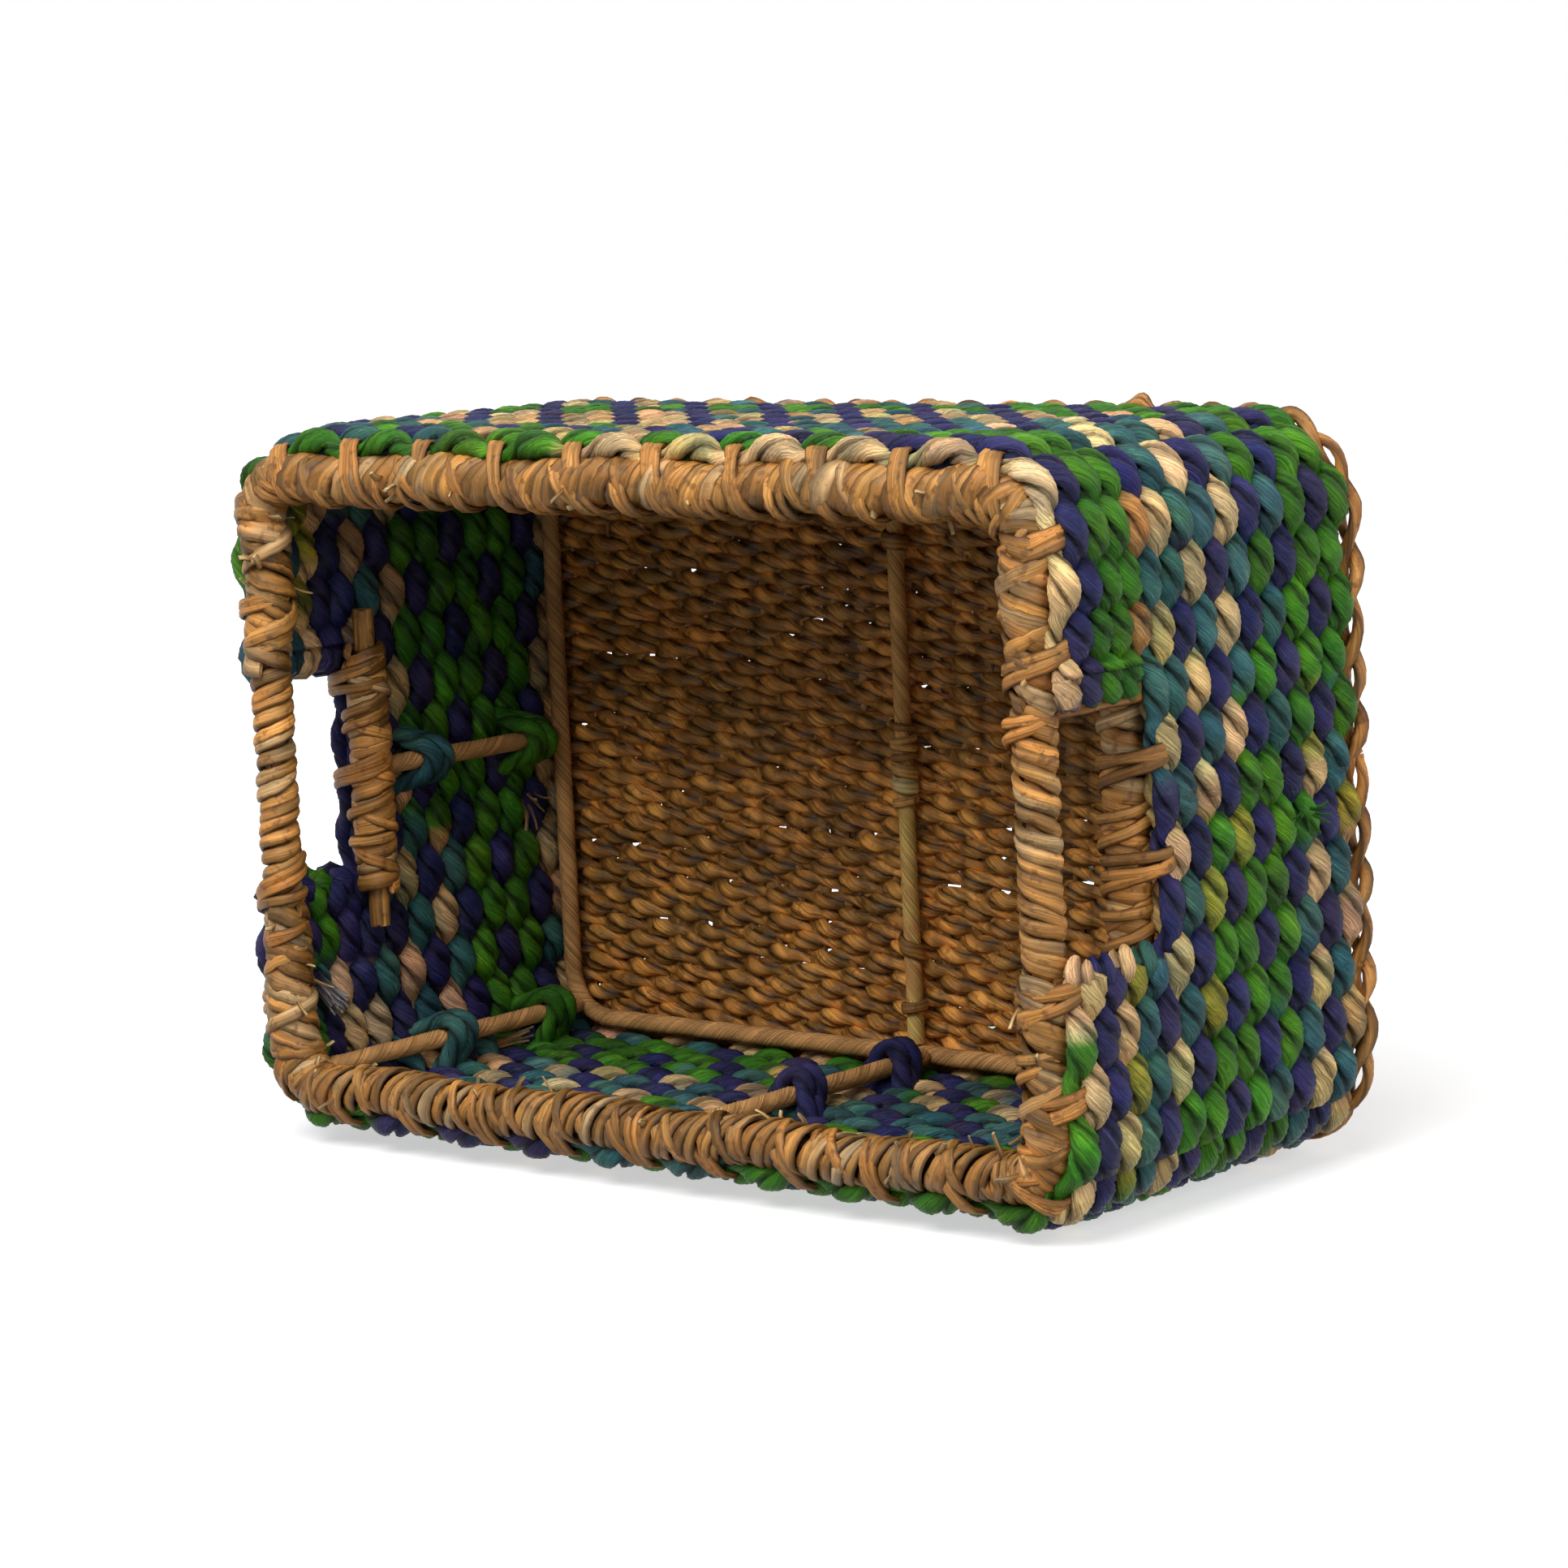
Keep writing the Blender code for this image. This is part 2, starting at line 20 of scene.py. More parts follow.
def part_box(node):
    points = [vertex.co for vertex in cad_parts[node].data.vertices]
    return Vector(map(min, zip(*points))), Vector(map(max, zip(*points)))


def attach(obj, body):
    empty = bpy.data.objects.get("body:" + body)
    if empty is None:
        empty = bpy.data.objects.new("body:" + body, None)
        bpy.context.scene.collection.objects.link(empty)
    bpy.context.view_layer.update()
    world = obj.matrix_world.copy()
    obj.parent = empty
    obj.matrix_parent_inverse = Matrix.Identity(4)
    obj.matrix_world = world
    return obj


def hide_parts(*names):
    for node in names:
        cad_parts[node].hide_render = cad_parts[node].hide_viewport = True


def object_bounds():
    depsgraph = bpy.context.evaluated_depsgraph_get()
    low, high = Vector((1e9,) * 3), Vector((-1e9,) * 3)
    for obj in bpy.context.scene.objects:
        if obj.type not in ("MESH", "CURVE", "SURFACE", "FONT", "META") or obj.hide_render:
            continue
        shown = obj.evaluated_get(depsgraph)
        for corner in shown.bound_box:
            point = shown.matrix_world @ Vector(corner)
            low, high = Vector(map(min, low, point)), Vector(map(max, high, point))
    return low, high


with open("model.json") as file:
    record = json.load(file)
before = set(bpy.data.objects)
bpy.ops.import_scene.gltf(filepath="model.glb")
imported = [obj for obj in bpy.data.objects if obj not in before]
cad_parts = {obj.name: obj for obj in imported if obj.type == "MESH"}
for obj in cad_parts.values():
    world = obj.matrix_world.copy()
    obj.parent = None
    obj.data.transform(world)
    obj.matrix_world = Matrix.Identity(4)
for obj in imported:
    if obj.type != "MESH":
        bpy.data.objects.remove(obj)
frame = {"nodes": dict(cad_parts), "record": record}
cad_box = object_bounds()

logging.basicConfig(level=logging.INFO, format="%(message)s")
log = logging.getLogger("basket")

Colour = tuple[float, float, float]
FULL_TURN = 2 * math.pi
MILLIMETRE = 0.001
UP = Vector((0, 0, 1))


class Dye(Enum):
    """Colours of cord and leaf, as linear red, green and blue."""

    NATURAL = (0.53, 0.365, 0.185)
    CREAM = (0.74, 0.54, 0.25)
    TAN = (0.48, 0.25, 0.075)
    NAVY = (0.019, 0.021, 0.104)
    TEAL = (0.033, 0.122, 0.138)
    GREEN = (0.042, 0.188, 0.011)
    LIME = (0.26, 0.31, 0.042)
    FLOOR_LEAF = (0.68, 0.300, 0.062)
    RIM_LEAF = (0.385, 0.174, 0.040)
    GRIP_LEAF = (0.49, 0.230, 0.059)
    EDGING_LEAF = (0.48, 0.21, 0.052)
    STAKE_LEAF = (0.375, 0.165, 0.038)
    PAPER = (0.67, 0.345, 0.125)
    # Painted light: the crossbar's paper, lighter than the other rods' to make up for the back wall's shadow
    # on it.
    BAR_PAPER = (0.95, 0.50, 0.17)
    # Leaf of the crossbar's tie: its own colour is paler than the rim's, and it is painted lighter still to
    # make up for the back wall's shadow on the crossbar.
    TIE_LEAF = (0.72, 0.37, 0.10)
    TIE_PALE = (0.78, 0.58, 0.24)
    FRAYED = (0.75, 0.74, 0.80)


class Section(Enum):
    """Cross sections of a strand: two twisted plies, a flat leaf or a paper-wound rod."""

    PLIES = "plies"
    LEAF = "leaf"
    PAPER = "paper"


def operator(operation: str, swapped: bool = False) -> Callable[["Socket", "Operand"], "Socket"]:
    """Make one of a socket's operators.

    Args:
        operation: Operation of the Math node.
        swapped: Whether the socket stands on the right.

    Returns:
        The operator's method.
    """
    def method(self: "Socket", other: "Operand") -> "Socket":
        """Join this socket with another value."""
        return self.graph.maths(operation, *((other, self) if swapped else (self, other)))
    return method


class Socket:
    """A node's output that takes part in Python maths."""

    def __init__(self, graph: "Graph", output: bpy.types.NodeSocket) -> None:
        """Keep the output and the graph that it belongs to."""
        self.graph = graph
        self.output = output

    __add__ = operator("ADD")
    __radd__ = operator("ADD", swapped=True)
    __sub__ = operator("SUBTRACT")
    __rsub__ = operator("SUBTRACT", swapped=True)
    __mul__ = operator("MULTIPLY")
    __rmul__ = operator("MULTIPLY", swapped=True)
    __truediv__ = operator("DIVIDE")
    __rtruediv__ = operator("DIVIDE", swapped=True)
    __pow__ = operator("POWER")


Operand = Socket | float | int | tuple | Vector


class Graph:
    """A node tree that is built from expressions."""

    def __init__(self, tree: bpy.types.NodeTree) -> None:
        """Start on an empty tree."""
        self.tree = tree
        tree.nodes.clear()

    @staticmethod
    def find(sockets: Iterable[bpy.types.NodeSocket], key: int | str) -> bpy.types.NodeSocket:
        """Find a socket by index, or by name or identifier among those in use.

        Args:
            sockets: A node's inputs or outputs.
            key: Index, name or identifier.

        Returns:
            The socket.
        """
        if isinstance(key, int):
            return list(sockets)[key]
        return next(one for one in sockets if one.enabled and key in (one.identifier, one.name))

    def add(self, kind: str, settings: dict | None = None, inputs: dict | None = None,
            output: int | str = 0) -> Socket:
        """Add a node, set it up and feed its sockets.

        Args:
            kind: Type of the node.
            settings: Properties of the node, which are set first.
            inputs: Values or links by socket index, name or identifier.
            output: Socket that is handed back.

        Returns:
            The chosen output.
        """
        node = self.tree.nodes.new(kind)
        for name, value in (settings or {}).items():
            setattr(node, name, value)
        for key, value in (inputs or {}).items():
            target = self.find(node.inputs, key)
            if isinstance(value, Socket):
                self.tree.links.new(value.output, target)
            else:
                target.default_value = value
        return Socket(self, self.find(node.outputs, output) if node.outputs else node)

    def maths(self, operation: str, *operands: Operand) -> Socket:
        """Add a Math node, or a Vector Math node where an operand is a vector.

        Args:
            operation: Operation that both kinds of node know.
            operands: Values or links, in order.

        Returns:
            The result.
        """
        arrows = [item.output.type in ("VECTOR", "RGBA") if isinstance(item, Socket)
                  else isinstance(item, (tuple, Vector)) for item in operands]
        if not any(arrows):
            return self.add("ShaderNodeMath", {"operation": operation}, dict(enumerate(operands)))
        if operation == "MULTIPLY" and not all(arrows):
            arrow, amount = operands if arrows[0] else reversed(operands)
            return self.add("ShaderNodeVectorMath", {"operation": "SCALE"}, {0: arrow, "Scale": amount})
        return self.add("ShaderNodeVectorMath", {"operation": operation}, dict(enumerate(operands)))

    def vector(self, x: Operand, y: Operand, z: Operand) -> Socket:
        """Join three numbers into a vector."""
        return self.add("ShaderNodeCombineXYZ", None, {0: x, 1: y, 2: z})

    def parts(self, arrow: Socket) -> list[Socket]:
        """Split a vector into its three numbers."""
        node = self.add("ShaderNodeSeparateXYZ", None, {0: arrow}).output.node
        return [Socket(self, output) for output in node.outputs]

    def noise(self, place: Socket, scale: float, detail: float = 2.0) -> Socket:
        """Soft noise about one half at a place."""
        return self.add("ShaderNodeTexNoise", None, {"Vector": place, "Scale": scale, "Detail": detail})

    def between(self, share: Operand, low: Operand, high: Operand) -> Socket:
        """Blend two colours by a share."""
        return self.add("ShaderNodeMix", {"data_type": "RGBA"}, {"Factor": share, "A": low, "B": high},
                        "Result")

    def ramp(self, value: Operand, low: float, high: float, start: float = 0.0, end: float = 1.0) -> Socket:
        """Map a value from one range to another, held at both ends."""
        inputs = {"Value": value, "From Min": low, "From Max": high, "To Min": start, "To Max": end}
        return self.add("ShaderNodeMapRange", None, inputs)

    def attribute(self, name: str, output: str) -> Socket:
        """Read an attribute that the strands carry."""
        return self.add("ShaderNodeAttribute", {"attribute_name": name}, output=output)

    def seen(self) -> Socket:
        """Tell the rays that the camera sees from others.

        Returns:
            One for rays from the camera, also those by way of gloss or glass.
        """
        ray = self.add("ShaderNodeLightPath", output="Is Camera Ray")
        outputs = ray.output.node.outputs
        for name in ("Is Glossy Ray", "Is Transmission Ray"):
            ray = self.maths("MAXIMUM", ray, Socket(self, outputs[name]))
        return ray


class SurfaceGraph(Graph):
    """The node tree of a new material."""

    def __init__(self, name: str) -> None:
        """Make the material and start on its tree.

        Args:
            name: Name of the material.
        """
        self.material = bpy.data.materials.new(name)
        self.material.use_nodes = True
        super().__init__(self.material.node_tree)
        self.place = self.add("ShaderNodeTexCoord", output="Object")

    def dress(self, colour: Socket, rough: Socket, height: Socket, bump: tuple[float, float],
              shine: float) -> bpy.types.Material:
        """Close the tree with a matt surface.

        Args:
            colour: Base colour.
            rough: Roughness.
            height: Height of the relief.
            bump: Strength and depth of the relief.
            shine: Specular level.

        Returns:
            The material.
        """
        normal = self.add("ShaderNodeBump", None,
                          {"Strength": bump[0], "Distance": bump[1], "Height": height}, "Normal")
        surface = self.add("ShaderNodeBsdfPrincipled", None,
                           {"Base Color": colour, "Roughness": rough, "Normal": normal,
                            "Specular IOR Level": shine})
        self.add("ShaderNodeOutputMaterial", None, {"Surface": surface})
        return self.material


class StrandTree(Graph):
    """Geometry Nodes that turn guide lines into cords, leaf strips or paper-wound rods.

    The guide is a mesh of open polylines. Its points carry side (the outward direction),
    thick and tall (half sizes along and across that direction), swing (reach of the weave),
    stake (count of stakes passed), twist (turn of the section) and dye (the colour).
    """

    INPUTS = {"Guide": "Geometry", "Step": "Float", "Sides": "Int", "Groove": "Float", "Waist": "Float",
              "Unevenness": "Float", "Patch": "Float", "Seed": "Float", "Caps": "Bool", "Finish": "Material"}

    def __init__(self, section: Section) -> None:
        """Build the tree for one cross section.

        Args:
            section: The cross section.
        """
        super().__init__(bpy.data.node_groups.new(f"{section.value}_strand", "GeometryNodeTree"))
        self.section = section
        source = self.tree.nodes.new("NodeGroupInput")
        for name, kind in self.INPUTS.items():
            self.tree.interface.new_socket(name, in_out="INPUT", socket_type="NodeSocket" + kind)
        entry = {name: Socket(self, self.find(source.outputs, name)) for name in self.INPUTS}

        curve = self.add("GeometryNodeMeshToCurve", None, {"Mesh": entry["Guide"]})
        curve = self.add("GeometryNodeResampleCurve", {"mode": "LENGTH"},
                         {"Curve": curve, "Length": entry["Step"]})
        curve = self.store(curve, "centre", "FLOAT_VECTOR", self.add("GeometryNodeInputPosition"))
        curve = self.store(curve, "way", "FLOAT_VECTOR", self.add("GeometryNodeInputTangent"))
        curve = self.store(curve, "along", "FLOAT", self.add("GeometryNodeSplineParameter", output="Length"))
        ring = self.add("GeometryNodeCurvePrimitiveCircle", None,
                        {"Resolution": entry["Sides"], "Radius": MILLIMETRE})
        ring = self.store(ring, "around", "FLOAT", self.add("GeometryNodeSplineParameter", output="Factor"))
        tube = self.add("GeometryNodeCurveToMesh", None,
                        {"Curve": curve, "Profile Curve": ring, "Fill Caps": entry["Caps"]})
        tube = self.add("GeometryNodeSetPosition", None,
                        {"Geometry": tube, "Position": self.section_place(entry)})
        angle = self.read("around") * FULL_TURN
        fibre = self.vector(self.read("along"), self.maths("COSINE", angle), self.maths("SINE", angle))
        tube = self.store(tube, "fibre", "FLOAT_VECTOR", fibre)
        for kind, inputs in (("MergeByDistance", {"Distance": MILLIMETRE / 100}),
                             ("SetShadeSmooth", {"Shade Smooth": True}),
                             ("RealizeInstances", {}),
                             ("SetMaterial", {"Material": entry["Finish"]})):
            tube = self.add("GeometryNode" + kind, None, {"Geometry": tube, **inputs})
        self.tree.interface.new_socket("Strands", in_out="OUTPUT", socket_type="NodeSocketGeometry")
        self.add("NodeGroupOutput", None, {"Strands": tube})

    def store(self, geometry: Socket, name: str, kind: str, value: Socket) -> Socket:
        """Store a named attribute on the points of a geometry."""
        inputs = {"Geometry": geometry, "Name": name, "Value": value}
        return self.add("GeometryNodeStoreNamedAttribute", {"data_type": kind}, inputs)

    def read(self, name: str, kind: str = "FLOAT") -> Socket:
        """Read a named attribute."""
        return self.add("GeometryNodeInputNamedAttribute", {"data_type": kind}, {"Name": name})

    def section_place(self, entry: dict[str, Socket]) -> Socket:
        """Work out where each point of the section lies.

        Args:
            entry: The tree's inputs. Groove is the depth of the valleys between plies or of a
                paper winding's edge, Waist the share of the height that is left where a cord
                crosses the wall, and Unevenness the share by which sizes vary over a Patch.

        Returns:
            The position.
        """
        centre, side, way = (self.read(name, "FLOAT_VECTOR") for name in ("centre", "side", "way"))
        around, twist, swing = (self.read(name) for name in ("around", "twist", "swing"))
        groove, waist, unevenness = (entry[name] for name in ("Groove", "Waist", "Unevenness"))
        rise = self.maths("NORMALIZE", self.maths("CROSS_PRODUCT", self.maths("NORMALIZE", side), way))
        side = self.maths("CROSS_PRODUCT", way, rise)
        phase = self.maths("COSINE", self.read("stake") * math.pi)
        fullness = self.maths("ABSOLUTE", phase)
        wave = phase / ((phase * phase + 0.35) ** 0.5) * math.sqrt(1.35)

        lump = self.noise(centre * (1.0 / entry["Patch"]) + entry["Seed"], 1.0) - 0.5
        ripple = self.noise(centre * (1.7 / entry["Patch"]) + entry["Seed"], 1.0) - 0.5
        thick = self.read("thick") * (1 + lump * unevenness * 2)
        tall = self.read("tall") * (waist + (1 - waist) * fullness) * (1 + ripple * unevenness * 3)

        if self.section is Section.LEAF:
            angle = around * FULL_TURN
            across = self.maths("COSINE", angle) * thick - self.maths("SINE", angle) ** 2 * tall * 0.12
            up = self.maths("SINE", angle) * tall
            turn = twist + ripple * unevenness * 1.5
            cosine = self.maths("COSINE", turn)
            sine = self.maths("SINE", turn)
            outward = across * cosine - up * sine + lump * unevenness * MILLIMETRE * 2
            upward = across * sine + up * cosine
        else:
            turn = around * FULL_TURN + twist
            if self.section is Section.PLIES:
                valley = (1 - self.maths("ABSOLUTE", self.maths("COSINE", around * FULL_TURN))) ** 4
                reach = 1 - groove * valley * (0.25 + 0.75 * fullness)
                turn = turn + lump * 1.6
            else:
                reach = 1 + groove * around
            outward = reach * self.maths("COSINE", turn) * thick
            upward = reach * self.maths("SINE", turn) * tall
        return centre + side * (outward + swing * wave) + rise * upward


@dataclass(frozen=True)
class StrandPoint:
    """One point of a guide line, with what it tells the strand tree."""

    place: Vector
    side: Vector
    thick: float
    tall: float
    dye: Colour
    twist: float = 0.0
    swing: float = 0.0
    stake: float = 0.0


Line = list[StrandPoint]


@dataclass(frozen=True)
class StrandSizes:
    """Sizes of a strand tree's sections and steps, named as the tree's inputs."""

    section: Section
    step: float
    sides: int
    groove: float = 0.0
    waist: float = 1.0
    unevenness: float = 0.06
    patch: float = 0.012
    caps: bool = True


class Workshop:
    """Turns guide lines into finished pieces and hands them to the frame."""

    NUMBERS = ("thick", "tall", "twist", "swing", "stake")
    SCRATCH = ("side", "way", "centre", "along", "around", *NUMBERS)

    def __init__(self) -> None:
        """Build one tree for each section."""
        self.trees = {section: StrandTree(section) for section in Section}
        self.count = 0

    def guide(self, name: str, lines: Iterable[Line]) -> bpy.types.Object:
        """Make the mesh that carries the lines and what their points tell the tree.

        Args:
            name: Name of the object.
            lines: Open lines of points.

        Returns:
            The object, linked to the scene.
        """
        points: Line = []
        edges: list[tuple[int, int]] = []
        for line in lines:
            start = len(points)
            points.extend(line)
            edges.extend((index, index + 1) for index in range(start, len(points) - 1))
        mesh = bpy.data.meshes.new(name)
        mesh.from_pydata([point.place for point in points], edges, [])
        for number in self.NUMBERS:
            values = [getattr(point, number) for point in points]
            mesh.attributes.new(number, "FLOAT", "POINT").data.foreach_set("value", values)
        sides = [value for point in points for value in point.side]
        mesh.attributes.new("side", "FLOAT_VECTOR", "POINT").data.foreach_set("vector", sides)
        dyes = [value for point in points for value in (*point.dye, 1.0)]
        mesh.attributes.new("dye", "FLOAT_COLOR", "POINT").data.foreach_set("color", dyes)
        guide = bpy.data.objects.new(name, mesh)
        bpy.context.scene.collection.objects.link(guide)
        return guide

    def weave(self, name: str, lines: Iterable[Line], sizes: StrandSizes, finish: bpy.types.Material,
              slot: str, *replaced: str) -> None:
        """Run a strand tree over guide lines and keep the result as a plain mesh.

        Args:
            name: Name of the piece.
            lines: Lines to follow.
            sizes: Sizes of the section.
            finish: Material.
            slot: The record's material slot; not used.
            replaced: CAD nodes that the piece stands for.
        """
        self.count += 1
        guide = self.guide(name + "_guide", lines)
        modifier = guide.modifiers.new("strands", "NODES")
        modifier.node_group = self.trees[sizes.section].tree
        values = {key.capitalize(): value for key, value in vars(sizes).items()}
        values |= {"Seed": float(self.count * 7), "Finish": finish}
        for item in modifier.node_group.interface.items_tree:
            if item.name in values:
                modifier[item.identifier] = values[item.name]
        view = bpy.context.evaluated_depsgraph_get()
        mesh = bpy.data.meshes.new_from_object(guide.evaluated_get(view))
        bpy.data.objects.remove(guide)
        for attribute in self.SCRATCH:
            if attribute in mesh.attributes:
                mesh.attributes.remove(mesh.attributes[attribute])
        mesh.name = name
        if not mesh.materials:
            mesh.materials.append(finish)
        piece = bpy.data.objects.new(name, mesh)
        bpy.context.scene.collection.objects.link(piece)
        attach(piece, "root")
        if replaced:
            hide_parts(*replaced)
        log.info("%s: %d faces", name, len(mesh.polygons))


@dataclass(frozen=True)
class FibreFinish:
    """Twisted or flat plant fibre whose colour comes with the strand, with painted shade in its hollows."""

    name: str
    roughness: float
    fibres_around: float
    streak_strength: float
    pale_share: float
    bump: float
    valley_shade: float = 0.0
    edge_shade: float = 0.0
    blotch_share: float = 0.0
    shine: float = 0.15
    warm_share: float = 0.3
    flake: Colour = (0.09, 0.032, 0.010)

    def material(self) -> bpy.types.Material:
        """Make the material.

        Returns:
            The material.
        """
        graph = SurfaceGraph(self.name)
        place = graph.place
        dye = graph.attribute("dye", "Color")
        along, cosine, sine = graph.parts(graph.attribute("fibre", "Vector"))
        wander = (graph.noise(place, 110.0, 2.0) - 0.5) * self.fibres_around * 0.5

        def grain(length_scale: float, width_scale: float) -> Socket:
            """Noise that is drawn out along the fibres.

            Args:
                length_scale: Fineness along the fibres.
                width_scale: Fineness across them.

            Returns:
                The noise.
            """
            wide = self.fibres_around * width_scale
            spot = graph.vector(along * length_scale, cosine * wide + wander, sine * wide + wander)
            return graph.noise(spot, 1.0, 3.0)

        ply = graph.noise(graph.vector(along * 45.0, cosine * 1.1, sine * 1.1), 1.0, 2.0)
        streak = grain(16.0, 1.0)
        hair = grain(45.0, 3.2)
        patch = graph.noise(place, 55.0, 2.0)
        strength = self.streak_strength
        tone = graph.ramp(streak, 0.32, 0.68, 1 - strength, 1 + strength)
        tone = tone * graph.ramp(hair, 0.3, 0.7, 1 - strength * 0.5, 1 + strength * 0.5)
        tone = tone * graph.ramp(ply, 0.32, 0.68, 0.70, 1.3) * graph.ramp(patch, 0.3, 0.7, 0.74, 1.22)
        # Painted shade: darker in the valleys between the plies.
        valley = (1 - graph.maths("ABSOLUTE", cosine)) ** 2
        # Painted shade: darker at the edges of leaf strips, where the gaps between them fall.
        edge = graph.maths("ABSOLUTE", sine) ** 5
        tone = tone * (1 - valley * self.valley_shade) * (1 - edge * self.edge_shade)
        warmth = graph.ramp(patch, 0.35, 0.75, -0.12, self.warm_share) * (1 - graph.parts(dye)[0])
        shade = dye * graph.vector(1 + warmth, 1 + warmth * 0.25, 1 - warmth * 0.35) * tone
        blotch = graph.ramp(graph.noise(place, 230.0, 3.0), 0.56, 0.68) * self.blotch_share
        shade = graph.between(blotch, shade, (*self.flake, 1))
        # Paler fibres: partly their own colour and partly a painted sheen highlight along the streaks.
        pale = graph.ramp(hair, 0.54, 0.74) * graph.ramp(streak, 0.5, 0.72) * self.pale_share
        pale_fibre_and_sheen_colour = graph.maths("MULTIPLY_ADD", shade, (1.35, 1.35, 1.3), (0.13, 0.12, 0.085))
        rough = graph.ramp(hair, 0.3, 0.7, self.roughness - 0.08, self.roughness + 0.1)
        return graph.dress(graph.between(pale, shade, pale_fibre_and_sheen_colour), rough, streak * 0.6 + hair * 0.4,
                           (self.bump, 0.0014), self.shine)


@dataclass(frozen=True)
class PaperFinish:
    """Brown paper wound over the frame's wire, with the lines of its winding."""

    name: str = "wound_paper"
    base: Dye = Dye.PAPER
    front_tint: Colour = (1.0, 1.0, 1.0)
    roughness: float = 0.6
    lines: float = 9.0

    def material(self) -> bpy.types.Material:
        """Make the material.

        Returns:
            The material.
        """
        graph = SurfaceGraph(self.name)
        along, cosine, sine = graph.parts(graph.attribute("fibre", "Vector"))
        line = graph.noise(graph.vector(along * 9.0, cosine * self.lines, sine * self.lines), 1.0, 3.0)
        crease = graph.noise(graph.vector(along * 30.0, cosine * 1.2, sine * 1.2), 1.0, 3.0)
        blotch = graph.noise(graph.place, 60.0, 3.0)
        tone = graph.ramp(line, 0.38, 0.62, 0.48, 1.30) * graph.ramp(crease, 0.3, 0.7, 0.85, 1.12)
        tone = tone * graph.ramp(blotch, 0.3, 0.7, 0.78, 1.18)
        front = graph.ramp(graph.parts(graph.place)[1], -0.002, -0.030) * graph.ramp(blotch, 0.35, 0.55)
        tint = graph.between(front, (1.0, 1.0, 1.0, 1.0), (*self.front_tint, 1.0))
        colour = graph.maths("MULTIPLY", self.base.value, tint) * tone
        rough = graph.ramp(blotch, 0.3, 0.7, self.roughness - 0.08, self.roughness + 0.08)
        return graph.dress(colour, rough, line, (0.7, 0.001), 0.15)


def held(value: float) -> float:
    """Hold a share between 0 and 1."""
    return min(max(value, 0.0), 1.0)


def left_of(way: Vector) -> Vector:
    """Level direction a quarter turn counter-clockwise from another."""
    return Vector((-way.y, way.x, 0))


